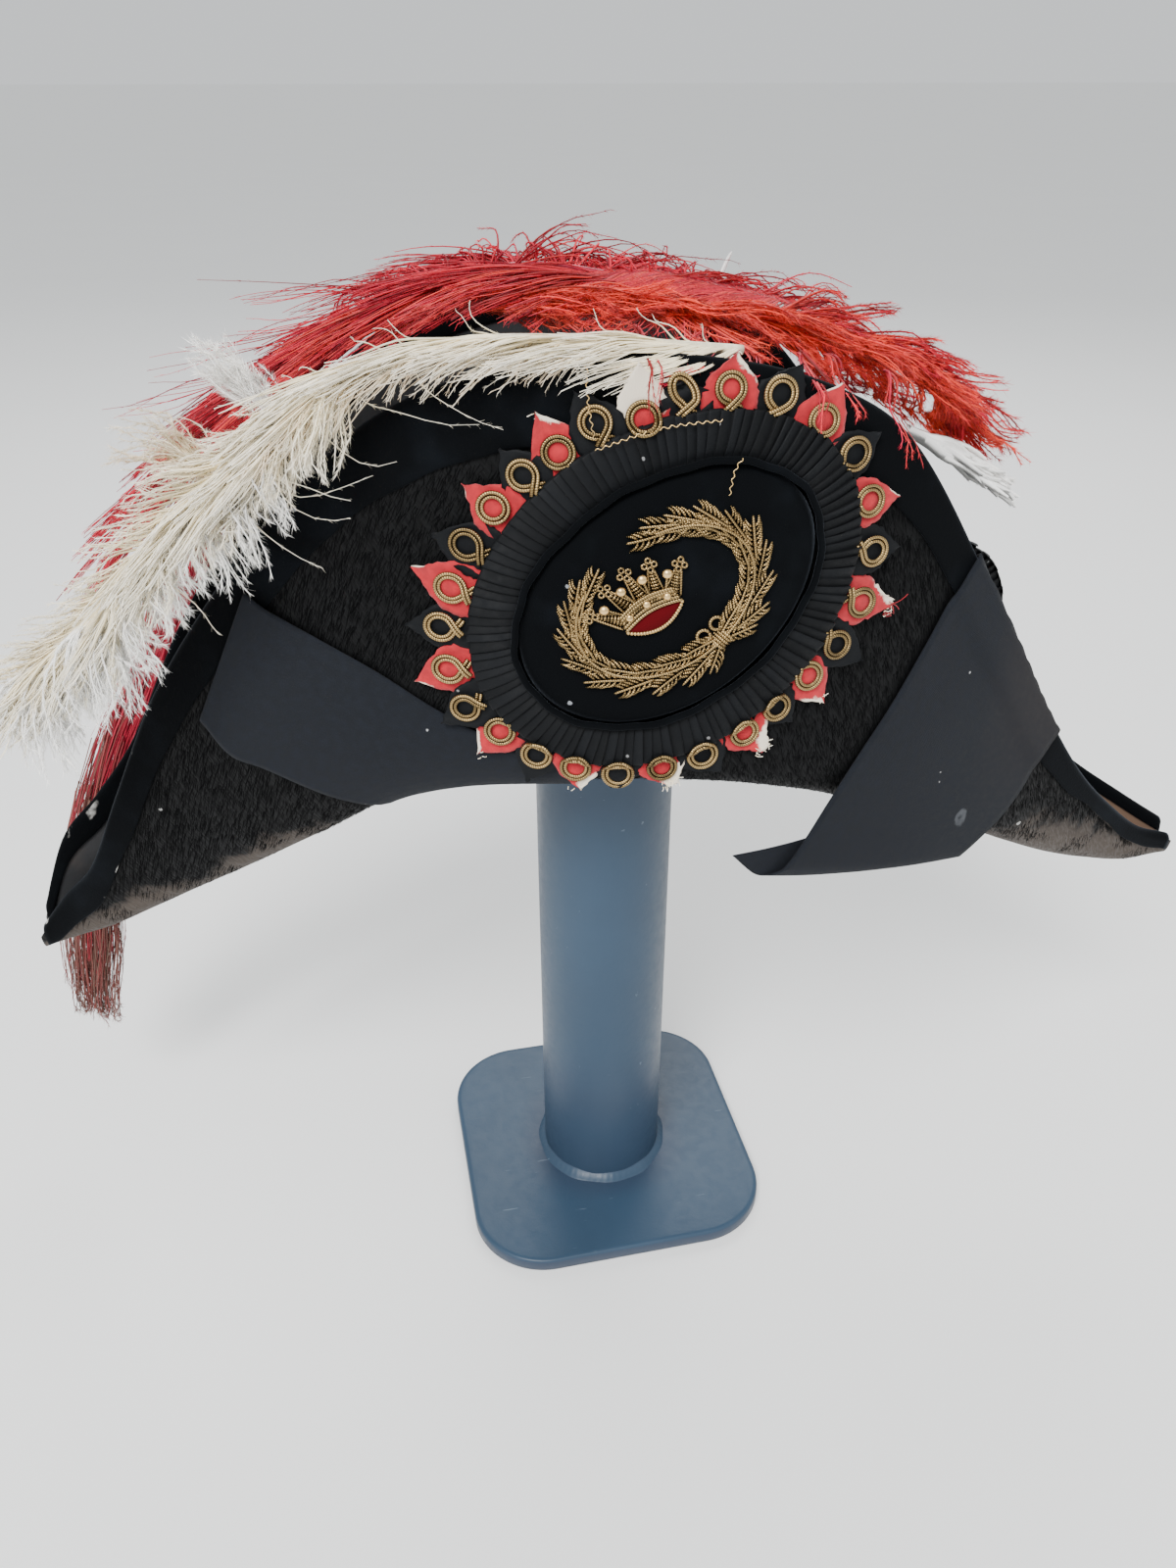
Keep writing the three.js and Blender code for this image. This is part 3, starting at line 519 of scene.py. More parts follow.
def section_curve(x, side, lift, inner_half=None):
    """Points of half a cross-section from its keel round the fold to the flap's edge.

    The result holds a row of (half width, height) for each x. A negative lift gives the
    inner face. The rows start at inner_half instead of the keel where it is given.
    """
    fold, edge, fold_half, edge_half, bend = sizes_at(x, side)
    low = fold - lift
    corner = np.stack([fold_half + lift, low], -1)
    start = np.stack([np.zeros_like(low), low], -1)
    top = np.stack([edge_half + lift, edge], -1)
    before = corner + (start - corner) * bend[:, None]
    after = corner + (top - corner) * bend[:, None]
    if inner_half is not None:
        start = np.stack([np.minimum(inner_half, before[:, 0] - 0.2), low], -1)
    start, before, corner, after, top = (
        part[:, None] for part in (start, before, corner, after, top)
    )
    flat = np.linspace(0, 1, UNDER_COLUMNS)[:-1, None]
    bow = np.linspace(0, 1, BOW_COLUMNS)[:-1, None]
    flank = np.linspace(0, 1, FLANK_COLUMNS)[:, None]
    rounded = before * (1 - bow) ** 2 + corner * 2 * bow * (1 - bow) + after * bow**2
    wall = after + (top - after) * flank
    curve = np.concatenate([start + (before - start) * flat, rounded, wall], 1)
    rise = np.clip((curve[..., 1] - fold[:, None]) / (edge - fold)[:, None], 0, 1)
    curve[..., 0] += ripple(x[:, None], curve[..., 1], side) * rise**0.5
    return curve


def on_section(x, down, side, lift):
    """The place this far down from the flap's edge, following the cloth round the fold."""
    x, down, lift = (np.asarray(part, float) for part in np.broadcast_arrays(x, down, lift))
    shape = x.shape
    x, down, lift = x.ravel(), down.ravel(), lift.ravel()
    curve = section_curve(x, side, lift)[:, ::-1]
    run = run_along(curve)
    k = np.clip((run <= down[:, None]).sum(1) - 1, 0, curve.shape[1] - 2)
    rows = np.arange(len(x))
    share = (down - run[rows, k]) / np.maximum(run[rows, k + 1] - run[rows, k], 1e-6)
    place = curve[rows, k] + (curve[rows, k + 1] - curve[rows, k]) * share[:, None]
    points = np.stack([HAT_X + x, side * place[:, 0], place[:, 1]], -1)
    return points.reshape(*shape, 3)


def down_of(x, z, side):
    """How far down the cloth a height on the flank lies from the flap's edge."""
    fold, edge, fold_half, edge_half, _ = sizes_at(x, side)
    return (edge - z) * np.sqrt(1 + ((edge_half - fold_half) / (edge - fold)) ** 2)


def flank_half(x, z, side):
    fold, edge, fold_half, edge_half, _ = sizes_at(x, side)
    rise = (z - fold) / np.maximum(edge - fold, 1)
    return fold_half + (edge_half - fold_half) * rise


def on_flank(x, z, side, lift):
    """A place on a flap's flank, carried straight on below the fold, lifted off the cloth."""

    def flat(px, pz):
        return np.stack([HAT_X + px, side * flank_half(px, pz, side), pz], -1)

    x, z = (np.asarray(part, float) for part in np.broadcast_arrays(x, z))
    along_x = flat(x + 1, z) - flat(x - 1, z)
    along_z = flat(x, z + 1) - flat(x, z - 1)
    outward = unit(np.cross(along_x, along_z)) * -side
    return flat(x, z) + outward * np.asarray(lift, float)[..., None]


def wrap_on_flap(points, place):
    """Bends a flat piece onto a flap: x to the right, y up and z out of the cloth."""
    right, rise = turned(points[..., 0], points[..., 1], place["turn"])
    x = place["x"] - place["side"] * right
    return on_flank(x, place["z"] + rise, place["side"], points[..., 2])


def on_rosette(points):
    return wrap_on_flap(points, ROSETTE)


def on_cockade(points):
    """Bends a piece onto the far flap, and lets its outer side stand away from the cloth."""
    stiff = np.array(points, float)
    stiff[..., 2] += 0.017 * np.maximum(-stiff[..., 0] - 4, 0) ** 2
    return wrap_on_flap(stiff, COCKADE)


# ---------------- shader groups and finishes


def tint(rgb, factor):
    """A lighter or darker shade of a colour."""
    return tuple(min(1.0, part * factor) for part in tuple(rgb)[:3]) + (1,)


class Nodes:
    """Adds shader nodes to a tree."""

    def __init__(self, tree):
        self.tree = tree

    def plug(self, value, socket):
        if isinstance(value, bpy.types.NodeSocket):
            self.tree.links.new(value, socket)
        else:
            socket.default_value = value

    def add(self, kind, inputs=None, **options):
        made = self.tree.nodes.new("ShaderNode" + kind)
        for name, value in options.items():
            setattr(made, name, value)
        for name, value in (inputs or {}).items():
            self.plug(value, made.inputs[name])
        return made

    def math(self, operation, *values, clamp=False):
        inputs = dict(enumerate(values))
        return self.add("Math", inputs, operation=operation, use_clamp=clamp).outputs[0]

    def mix(self, factor, first, second):
        inputs = {"Factor": factor, 6: first, 7: second}
        return self.add("Mix", inputs, data_type="RGBA").outputs[2]

    def cover(self, base, mask, share, over):
        """Lays a colour over part of the base."""
        return self.mix(self.math("MULTIPLY", mask, share, clamp=True), base, over)

    def ranged(self, value, low, high, new_low=0.0, new_high=1.0):
        inputs = dict(enumerate((value, low, high, new_low, new_high)))
        return self.add("MapRange", inputs, interpolation_type="SMOOTHSTEP").outputs[0]

    def noise(self, vector, scale, detail=3.0, roughness=0.55):
        inputs = {"Vector": vector, "Scale": scale, "Detail": detail, "Roughness": roughness}
        return self.add("TexNoise", inputs).outputs["Fac"]

    def vector(self, operation, first, second, output=0):
        inputs = {0: first, 1: second}
        return self.add("VectorMath", inputs, operation=operation).outputs[output]

    def place(self):
        return self.add("TexCoord").outputs["Object"]

    def cloth_place(self):
        return self.add("TexCoord").outputs["UV"]

    def tone_parts(self):
        """Random shade, share along the piece, and the mark of each point, which holds wear and
        fraying, and painted shade deep in the pleats.
        """
        tone = self.add("Attribute", attribute_name="tone", attribute_type="GEOMETRY")
        return self.add("SeparateColor", {0: tone.outputs["Color"]}).outputs

    def group(self, kind, *values):
        """A node group whose inputs take the values in order."""
        if kind not in made_groups:
            made_groups[kind] = GROUPS[kind]()
        made = self.tree.nodes.new("ShaderNodeGroup")
        made.node_tree = made_groups[kind]
        for value, socket in zip(values, made.inputs):
            self.plug(value, socket)
        return made.outputs

    def lint(self, base, scale, amount, size, share, over):
        """Scatters pale specks over the base."""
        return self.cover(base, self.group("lint", scale, amount, size)["Mask"], share, over)


class Group(Nodes):
    """A shader node group with named inputs (name, type, default) and outputs (name, type)."""

    def __init__(self, name, inputs, outputs):
        super().__init__(bpy.data.node_groups.new(name, "ShaderNodeTree"))
        sockets = self.tree.interface
        for label, kind, value in inputs:
            socket = sockets.new_socket(label, in_out="INPUT", socket_type="NodeSocket" + kind)
            socket.default_value = value
        for label, kind in outputs:
            sockets.new_socket(label, in_out="OUTPUT", socket_type="NodeSocket" + kind)
        self.given = self.tree.nodes.new("NodeGroupInput").outputs
        self.out = self.tree.nodes.new("NodeGroupOutput").inputs

    def giving(self, **results):
        for name, value in results.items():
            self.tree.links.new(value, self.out[name])
        return self.tree


class Finish(Nodes):
    """A material whose shader's own sockets hold the constant values."""

    def __init__(self, name, **sockets):
        self.material = bpy.data.materials.new(name)
        self.material.use_nodes = True
        super().__init__(self.material.node_tree)
        self.shader = self.tree.nodes["Principled BSDF"]
        for label, value in sockets.items():
            label = label.replace("_", " ").title().replace("Ior", "IOR")
            self.shader.inputs[label].default_value = value

    def made(self, base, roughness=None, height=None, strength=0.0, distance=0.0):
        """Joins the colour, and where they vary the roughness and the surface's height."""
        self.tree.links.new(base, self.shader.inputs["Base Color"])
        if roughness is not None:
            self.tree.links.new(roughness, self.shader.inputs["Roughness"])
        if height is not None:
            inputs = {"Height": height, "Strength": strength, "Distance": distance}
            self.tree.links.new(self.add("Bump", inputs).outputs[0], self.shader.inputs["Normal"])
        return self.material


def build_nap_group():
    """Fine streaks of pile that all lie one way."""
    sockets = [("Grain", "Vector", (900, 900, 120)), ("Lean", "Vector", (0, 0.5, 0))]
    nap = Group("Nap", sockets, [("Streaks", "Float"), ("Patches", "Float")])
    inputs = {"Vector": nap.place(), "Rotation": nap.given["Lean"]}
    turned = nap.add("VectorRotate", inputs, rotation_type="EULER_XYZ").outputs[0]
    stretched = nap.vector("MULTIPLY", turned, nap.given["Grain"])
    patches = nap.noise(nap.place(), 38.0, 3.0)
    return nap.giving(Streaks=nap.noise(stretched, 1.0, 2.0), Patches=patches)


def build_lint_group():
    """Scattered pale specks of dust and lint."""
    sockets = [("Scale", "Float", 120.0), ("Amount", "Float", 0.1), ("Size", "Float", 0.12)]
    lint = Group("Lint", sockets, [("Mask", "Float")])
    place = lint.place()
    cells = lint.add("TexVoronoi", {"Vector": place, "Scale": lint.given["Scale"]}).outputs
    random = lint.add("SeparateColor", {0: cells["Color"]}).outputs[0]
    chosen = lint.math("LESS_THAN", random, lint.given["Amount"])
    wobble = lint.math("ADD", lint.noise(place, 900.0, 1.0), 0.4)
    reach = lint.math("MULTIPLY", lint.given["Size"], wobble)
    inside = lint.math("LESS_THAN", cells["Distance"], reach)
    return lint.giving(Mask=lint.math("MULTIPLY", chosen, inside))


def build_weave_group():
    """Crossing threads over a cloth's own length and width, in threads per millimetre."""
    sockets = [("Ribs", "Float", 2.0), ("Threads", "Float", 4.0)]
    weave = Group("Weave", sockets, [("Height", "Float"), ("Shade", "Float")])
    uv = weave.add("SeparateXYZ", {0: weave.cloth_place()}).outputs
    waves = []
    for axis, count in (("X", "Ribs"), ("Y", "Threads")):
        turns = weave.math("MULTIPLY", uv[axis], weave.given[count])
        waves.append(weave.math("SINE", weave.math("MULTIPLY", turns, 2 * math.pi)))
    both = weave.math("MULTIPLY_ADD", waves[1], 0.3, weave.math("ABSOLUTE", waves[0]))
    return weave.giving(Height=both, Shade=weave.noise(weave.cloth_place(), 0.35, 4.0))


def build_wear_group():
    """Turns a soft wear mask into ragged bald patches."""
    sockets = [("Mask", "Float", 0.0), ("Scale", "Float", 90.0), ("Softness", "Float", 0.25)]
    wear = Group("Ragged wear", sockets, [("Wear", "Float")])
    mask, softness = wear.given["Mask"], wear.given["Softness"]
    ragged = wear.noise(wear.place(), wear.given["Scale"], 5.0, 0.65)
    value = wear.math("ADD", mask, wear.math("SUBTRACT", ragged, 0.5))
    low, high = wear.math("SUBTRACT", 0.5, softness), wear.math("ADD", 0.5, softness)
    level = wear.add("MapRange", {0: value, 1: low, 2: high}).outputs[0]
    masked = wear.math("MULTIPLY", level, mask, clamp=True)
    return wear.giving(Wear=wear.math("MULTIPLY", masked, 1.4, clamp=True))


def build_twist_group():
    """The slanting turns of a twisted or coiled metal thread, over its length."""
    sockets = [("Turns", "Float", 1.2), ("Slant", "Float", 1.0)]
    twist = Group("Twisted thread", sockets, [("Height", "Float"), ("Groove", "Float")])
    uv = twist.add("SeparateXYZ", {0: twist.cloth_place()}).outputs
    along = twist.math("MULTIPLY", uv["X"], twist.given["Turns"])
    around = twist.math("MULTIPLY", uv["Y"], twist.given["Slant"])
    angle = twist.math("MULTIPLY", twist.math("ADD", along, around), 2 * math.pi)
    wave = twist.math("MULTIPLY_ADD", twist.math("SINE", angle), 0.5, 0.5)
    return twist.giving(Height=wave, Groove=twist.ranged(wave, 0.0, 0.55, 1.0, 0.0))


def build_barb_group():
    """A feather's colour from root to tip, with each barb a little different."""
    grey = (0.5, 0.5, 0.5, 1)
    sockets = [(name, "Color", grey) for name in ("Root", "Tip", "Marked")]
    barb = Group("Barb tone", sockets + [("Variation", "Float", 0.3)], [("Color", "Color")])
    given, parts = barb.given, barb.tone_parts()
    tipped = barb.mix(barb.ranged(parts[1], 0.25, 1.0), given["Root"], given["Tip"])
    marked = barb.mix(parts[2], tipped, given["Marked"])
    spread = barb.math("SUBTRACT", parts[0], 0.5)
    value = barb.math("MULTIPLY_ADD", spread, given["Variation"], 1.0)
    shaded = barb.add("HueSaturation", {"Value": value, "Color": marked}).outputs[0]
    return barb.giving(Color=shaded)


GROUPS = {
    "nap": build_nap_group,
    "lint": build_lint_group,
    "weave": build_weave_group,
    "wear": build_wear_group,
    "twist": build_twist_group,
    "barb": build_barb_group,
}
made_groups = {}
made_finishes = {}


def paint_finish():
    look = Finish("Stand paint", specular_ior_level=0.32)
    place, paint = look.place(), settings("stand").paint
    cloudy = look.ranged(look.noise(place, 14.0, 4.0), 0.35, 0.65)
    base = look.mix(cloudy, tint(paint, 0.94), tint(paint, 1.07))
    fine = look.noise(place, 260.0, 4.0, 0.7)
    chips = look.math("MULTIPLY", look.ranged(fine, 0.72, 0.76), look.noise(place, 30.0))
    base = look.cover(base, chips, 1.2, (0.03, 0.035, 0.045, 1))
    stretched = look.vector("MULTIPLY", place, (60.0, 700.0, 240.0))
    scratches = look.ranged(look.noise(stretched, 1.0, 3.0, 0.6), 0.71, 0.75)
    base = look.cover(base, scratches, 0.35, (0.2, 0.26, 0.33, 1))
    base = look.lint(base, 150.0, 0.012, 0.06, 0.5, (0.45, 0.45, 0.45, 1))
    base = look.cover(base, look.tone_parts()[2], 0.75, (0.028, 0.035, 0.06, 1))
    height = look.math("MULTIPLY_ADD", look.noise(place, 45.0), 2.0, look.noise(place, 420.0, 2.0))
    return look.made(base, look.ranged(fine, 0.3, 0.75, 0.36, 0.46), height, 0.25, 0.0002)


def plush_finish():
    """Silk plush with a nap that lies downwards, rubbed bald along its folds."""
    sheen = {"sheen_weight": 0.02, "sheen_roughness": 0.4}
    look = Finish("Silk plush", specular_ior_level=0.11, **sheen)
    plush, worn = settings("hat").plush, tuple(settings("hat").worn_plush)
    nap = look.group("nap", (1500.0, 600.0, 190.0), (0.0, 0.55, 0.0))
    base = look.mix(look.ranged(nap["Streaks"], 0.38, 0.66), tuple(plush), tint(plush, 1.8))
    dusty = look.ranged(nap["Patches"], 0.45, 0.75, 0.0, 0.5)
    base = look.mix(dusty, base, tint(plush, 2.6))
    wear = look.group("wear", look.tone_parts()[2], 95.0, 0.09)["Wear"]
    base = look.lint(look.mix(wear, base, worn), 130.0, 0.02, 0.14, 0.7, (0.5, 0.5, 0.48, 1))
    roughness = look.ranged(nap["Streaks"], 0.3, 0.7, 0.78, 0.5)
    return look.made(base, roughness, nap["Streaks"], 0.5, 0.0004)


def lining_finish():
    """Smooth grey-black cloth inside the flaps, browned towards the tips."""
    sheen = {"sheen_weight": 0.15, "sheen_roughness": 0.5}
    look = Finish("Inner cloth", specular_ior_level=0.3, **sheen)
    cloudy = look.noise(look.place(), 26.0, 5.0)
    shades = (0.009, 0.0095, 0.011, 1), (0.032, 0.032, 0.034, 1)
    base = look.mix(look.ranged(cloudy, 0.35, 0.7), *shades)
    wear = look.group("wear", look.tone_parts()[2], 60.0, 0.3)["Wear"]
    base = look.mix(wear, base, (0.14, 0.085, 0.055, 1))
    weave = look.noise(look.place(), 1400.0, 2.0)
    return look.made(base, look.ranged(cloudy, 0.3, 0.7, 0.6, 0.85), weave, 0.3, 0.0002)


def velvet_finish(name, velvet, sheen_tint, sheen_weight):
    look = Finish(
        name, roughness=0.95, specular_ior_level=0.08, sheen_weight=sheen_weight,
        sheen_roughness=0.32, sheen_tint=sheen_tint,
    )
    nap = look.group("nap", (1600.0, 1600.0, 900.0), (0.0, 0.3, 0.0))
    crushed = look.ranged(nap["Patches"], 0.5, 0.75)
    base = look.cover(tuple(velvet), crushed, 0.8, tint(velvet, 3.0))
    wear = look.group("wear", look.tone_parts()[2], 260.0, 0.12)["Wear"]
    base = look.mix(wear, base, (0.5, 0.49, 0.46, 1))
    base = look.lint(base, 170.0, 0.03, 0.12, 0.6, (0.4, 0.42, 0.45, 1))
    return look.made(base, None, nap["Streaks"], 0.35, 0.0003)


WATER_RINGS = [((111.0, -50.0, 245.0), 3.4), ((113.0, -62.0, 206.0), 3.0)]  # place, radius


def ribbon_finish():
    """Matt ribbed ribbon, with dust, faint rings where water dried and brown towards one end."""
    sheen = {"sheen_weight": 0.03, "sheen_roughness": 0.5}
    look = Finish("Grosgrain ribbon", specular_ior_level=0.12, **sheen)
    place, ribbon = look.place(), settings("hat").ribbon
    weave = look.group("weave", 1.6, 3.0)
    uneven = look.ranged(weave["Shade"], 0.35, 0.7)
    base = look.mix(uneven, tuple(ribbon), tint(ribbon, 1.45))
    base = look.cover(base, weave["Height"], 0.18, (0.004, 0.005, 0.006, 1))
    base = look.cover(base, look.tone_parts()[2], 0.5, (0.04, 0.03, 0.026, 1))
    for spot, radius in WATER_RINGS:
        away = look.vector("DISTANCE", place, tuple(c * MM for c in spot), "Value")
        bent = look.math("MULTIPLY_ADD", look.noise(place, 300.0), 0.003, away)
        ring = look.math("ABSOLUTE", look.math("SUBTRACT", bent, radius * MM + 0.0015))
        mark = look.ranged(ring, 0.0003, 0.0012, 0.3, 0.0)
        base = look.cover(base, mark, look.noise(place, 260.0), (0.35, 0.37, 0.4, 1))
    base = look.lint(base, 190.0, 0.05, 0.12, 0.75, (0.5, 0.5, 0.5, 1))
    roughness = look.ranged(weave["Shade"], 0.3, 0.7, 0.72, 0.88)
    return look.made(base, roughness, weave["Height"], 0.4, 0.00015)


def black_cloth_finish():
    """Closely woven black silk of the pleats and the dark leaves, with painted shade deep in the
    pleats.
    """
    sheen = {"sheen_weight": 0.02, "sheen_roughness": 0.4}
    look = Finish("Black silk", specular_ior_level=0.13, **sheen)
    weave, parts = look.group("weave", 2.4, 3.1), look.tone_parts()
    black = settings("rosette").black
    uneven = look.math("MULTIPLY", weave["Shade"], 0.5)
    level = look.ranged(look.math("MULTIPLY_ADD", parts[0], 0.5, uneven), 0.25, 0.8)
    base = look.mix(level, tuple(black), tint(black, 1.8))
    # Painted shade: the points deep in the pleats, marked in the tone, are darkened.
    base = look.cover(base, parts[2], 0.85, (0.0015, 0.0017, 0.002, 1))
    base = look.lint(base, 260.0, 0.03, 0.14, 0.5, (0.4, 0.4, 0.4, 1))
    roughness = look.ranged(weave["Shade"], 0.3, 0.7, 0.5, 0.7)
    return look.made(base, roughness, weave["Height"], 0.3, 0.0001)


def red_cloth_finish():
    """Red cloth that has frayed to its cream backing towards its points."""
    sheen = {"sheen_weight": 0.2, "sheen_roughness": 0.5}
    look = Finish("Red cloth", roughness=0.8, specular_ior_level=0.3, **sheen)
    weave, parts = look.group("weave", 2.2, 2.6), look.tone_parts()
    red = settings("rosette").red
    base = look.mix(look.ranged(weave["Shade"], 0.35, 0.7), tint(red, 0.72), tuple(red))
    ragged = look.noise(look.place(), 330.0, 4.0, 0.7)
    ragged = look.math("MULTIPLY", look.math("SUBTRACT", ragged, 0.5), 0.34)
    start = look.math("SUBTRACT", 1.0, parts[2])
    past = look.math("SUBTRACT", look.math("ADD", parts[1], ragged), start)
    gone = look.math("MULTIPLY", past, 14.0, clamp=True)
    frays = look.math("GREATER_THAN", parts[2], 0.02)
    base = look.cover(base, gone, frays, (0.8, 0.72, 0.58, 1))
    base = look.cover(base, weave["Height"], 0.1, (0.2, 0.01, 0.012, 1))
    return look.made(base, None, weave["Height"], 0.35, 0.00012)


def gold_finish(name, turns, slant, light, depth):
    """Tarnished gold thread, with painted shade darkening the grooves between its turns."""
    look = Finish(name, metallic=1.0)
    twist = look.group("twist", turns, slant)
    gold = tint(settings("rosette").gold, light)
    tarnish = look.noise(look.place(), 110.0, 4.0)
    uneven = look.math("MULTIPLY", tarnish, 0.6)
    level = look.math("MULTIPLY_ADD", look.tone_parts()[0], 0.5, uneven)
    base = look.mix(look.ranged(level, 0.25, 0.7), tint(gold, 0.32), gold)
    # Painted shade: the grooves between the turns are darkened, as strongly as depth says.
    base = look.cover(base, twist["Groove"], depth, (0.028, 0.018, 0.009, 1))
    roughness = look.ranged(tarnish, 0.3, 0.7, 0.26, 0.46)
    return look.made(base, roughness, twist["Height"], 0.6, 0.00012)


def barb_finish(name, root, tip, marked, variation, **sockets):
    """Feather barbs, or single hairs, whose colour runs from root to tip."""
    look = Finish(name, **sockets)
    colours = (tuple(part) for part in (root, tip, marked))
    return look.made(look.group("barb", *colours, variation)["Color"])


def quill_finish(name, quill):
    look = Finish(name, roughness=0.22, coat_weight=0.4)
    streaks = look.noise(look.place(), 160.0, 3.0)
    base = look.mix(look.ranged(streaks, 0.35, 0.7), tint(quill, 0.6), tuple(quill))
    return look.made(base, None, streaks, 0.15, 0.0002)


def floor_finish():
    look = Finish("Pale floor", roughness=0.9)
    floor = settings("stage").floor
    return look.made(look.mix(look.noise(look.place(), 3.0), tint(floor, 0.97), tuple(floor)))


CAP_RED, QUILL_RED = (0.075, 0.002, 0.004, 1), (0.58, 0.02, 0.065, 1)
STAINED, SUN_YELLOW = (0.11, 0.075, 0.05, 1), (0.6, 0.42, 0.24, 1)


def make_finish(kind):
    hat, plumes = settings("hat"), settings("plume")
    red, cream, white = plumes.red, plumes.cream, plumes.white
    ivory = [(a + b) / 2 for a, b in zip(cream, white)]
    hairs = {"roughness": 0.7, "specular_ior_level": 0.04}
    barbs = {
        "roughness": 0.65, "specular_ior_level": 0.2, "sheen_weight": 0.05, "sheen_roughness": 0.5
    }
    makers = {
        "paint": (paint_finish,),
        "plush": (plush_finish,),
        "hairs": (barb_finish, "Plush hairs", hat.plush, tint(hat.plush, 1.3), hat.worn_plush, 0.4),
        "lining": (lining_finish,),
        "velvet": (velvet_finish, "Black velvet", hat.velvet, (0.4, 0.46, 0.56, 1), 0.11),
        "red velvet": (velvet_finish, "Red velvet", CAP_RED, (1, 0.3, 0.3, 1), 0.08),
        "ribbon": (ribbon_finish,),
        "black silk": (black_cloth_finish,),
        "red cloth": (red_cloth_finish,),
        "cord": (gold_finish, "Gold cord", 1.6, 1.0, 0.85, 0.7),
        "bullion": (gold_finish, "Gold bullion", 1.7, 1.0, 1.1, 0.95),
        "bead": (gold_finish, "Gold bead", 0.0, 0.0, 1.6, 0.0),
        "red barbs": (barb_finish, "Red ostrich", red, tint(red, 1.35), plumes.orange, 1.3),
        "fall barbs": (barb_finish, "Hanging red ostrich", red, red, STAINED, 0.6),
        "white barbs": (barb_finish, "White ostrich", white, white, cream, 0.2),
        "cream barbs": (barb_finish, "Cream ostrich", cream, ivory, SUN_YELLOW, 0.3),
        "red quill": (quill_finish, "Red quill", QUILL_RED),
        "cream quill": (quill_finish, "Cream quill", cream),
        "floor": (floor_finish,),
    }
    maker, *values = makers[kind]
    sockets = {} if maker is not barb_finish else hairs if kind == "hairs" else barbs
    return maker(*values, **sockets)


def finish(kind):
    """The named finish, built the first time that a piece needs it."""
    if kind not in made_finishes:
        made_finishes[kind] = make_finish(kind)
    return made_finishes[kind]


# ---------------- display stand

STAND_STEPS = 288
PLATE_CORNER, PLATE_TURN = 30.0, math.radians(3.8)
POST_WALL, WELD_BEAD = 3.0, 3.0


def rounded_square(half, corner):
    """Points round a square with rounded corners, one for each of evenly spaced directions."""
    heading = oval_at(even_turns(STAND_STEPS))
    size = np.abs(heading)
    flat = half / size.max(1)
    inner = half - corner
    along = size.sum(1) * inner
    gap = along**2 - (2 * inner**2 - corner**2)
    arc = along + np.sqrt(np.maximum(gap, 0))
    at_corner = (size * flat[:, None]).min(1) > inner
    points = heading * np.where(at_corner, arc, flat)[:, None]
    return np.stack(turned(*points.T, PLATE_TURN), -1)


def make_stand_piece(name, rows, grime, caps=()):
    """One painted piece from rings of points, with grime given as its rings and its strength."""
    mask = np.zeros((len(rows), STAND_STEPS))
    for rings, strength in grime:
        mask[rings] = strength
    work = Work()
    faces = grid_faces(len(rows), STAND_STEPS, around=True)
    work.add(np.stack(rows), [faces, *caps], tone=marks(mask))
    work.piece(name, ["paint"], "stand_paint", "display_stand")


def make_stand():
    stand = settings("stand")
    plate, thick = stand.plate_size / MM, stand.plate_thickness / MM
    radius, top = stand.post_radius / MM, stand.post_top / MM
    around = even_turns(STAND_STEPS)
    hollow = radius - POST_WALL

    def ring(reach, z):
        return lifted(oval_at(around, reach, reach), z)

    rows = [ring(8, 0)]
    insets = [(8, 0), (1.2, 0), (0.4, 0.15), (0, 0.7), (0, thick - 1.4), (0.25, thick - 0.5)]
    for inset, z in insets + [(0.9, thick - 0.06), (2.2, thick)]:
        rows.append(lifted(rounded_square(plate / 2 - inset, PLATE_CORNER - inset), z))
    edge, foot = rows[-1], ring(radius + WELD_BEAD, thick)
    rows += [edge + (foot - edge) * share for share in (0.05, 0.35, 0.7, 1)]
    rows.append(ring(hollow, thick))
    grime = [(slice(2, 6), 0.7), (slice(-2, None), 0.6)]
    make_stand_piece("stand_plate", rows, grime, [np.arange(STAND_STEPS)[None]])

    wall = [(radius, z) for z in np.linspace(thick - 0.5, top - 1.5, 14)]
    wall += [(radius - 0.1, top - 0.4), (radius - 0.5, top), (hollow + 0.4, top)]
    wall += [(hollow, top - 1), (hollow, thick - 0.5)]
    make_stand_piece("stand_post", [ring(*place) for place in wall], [(slice(0, 3), 0.35)])

    ripples = 0.5 + 0.5 * np.cos(around * 62 + 0.8 * np.sin(around * 3))
    bead = WELD_BEAD + 0.3 * np.sin(around * 5 + 1) + 0.2 * np.sin(around * 11)
    rows = []
    for share in np.linspace(0, 1, 9):
        slope = share * np.pi / 2
        swell = 0.35 * math.sin(share * np.pi) * (0.7 + 0.3 * ripples)
        out = radius + bead * (1 - share) ** 1.15 + swell * math.cos(slope)
        rows.append(ring(out, thick - 0.1 + bead * share**1.15 + swell * math.sin(slope)))
    make_stand_piece("stand_weld", rows, [(0, 0.8), (-1, 0.5)])


# ---------------- brim, crown and bindings


def brim_wear(x, z, side):
    """How strongly the plush is rubbed at each place."""
    fold = heights_at(x)[..., 0]
    high, strength = (np.interp(x, FOLD_WEAR[:, 0], FOLD_WEAR[:, k]) for k in (1, 2))
    if side > 0:
        strength = strength * 0.7
    return strength * np.exp(-(np.maximum(z - fold, 0) / high) ** 2)


BROWN_FROM, BROWN_OVER = 150.0, 60.0  # where the inner cloth turns brown towards a tip


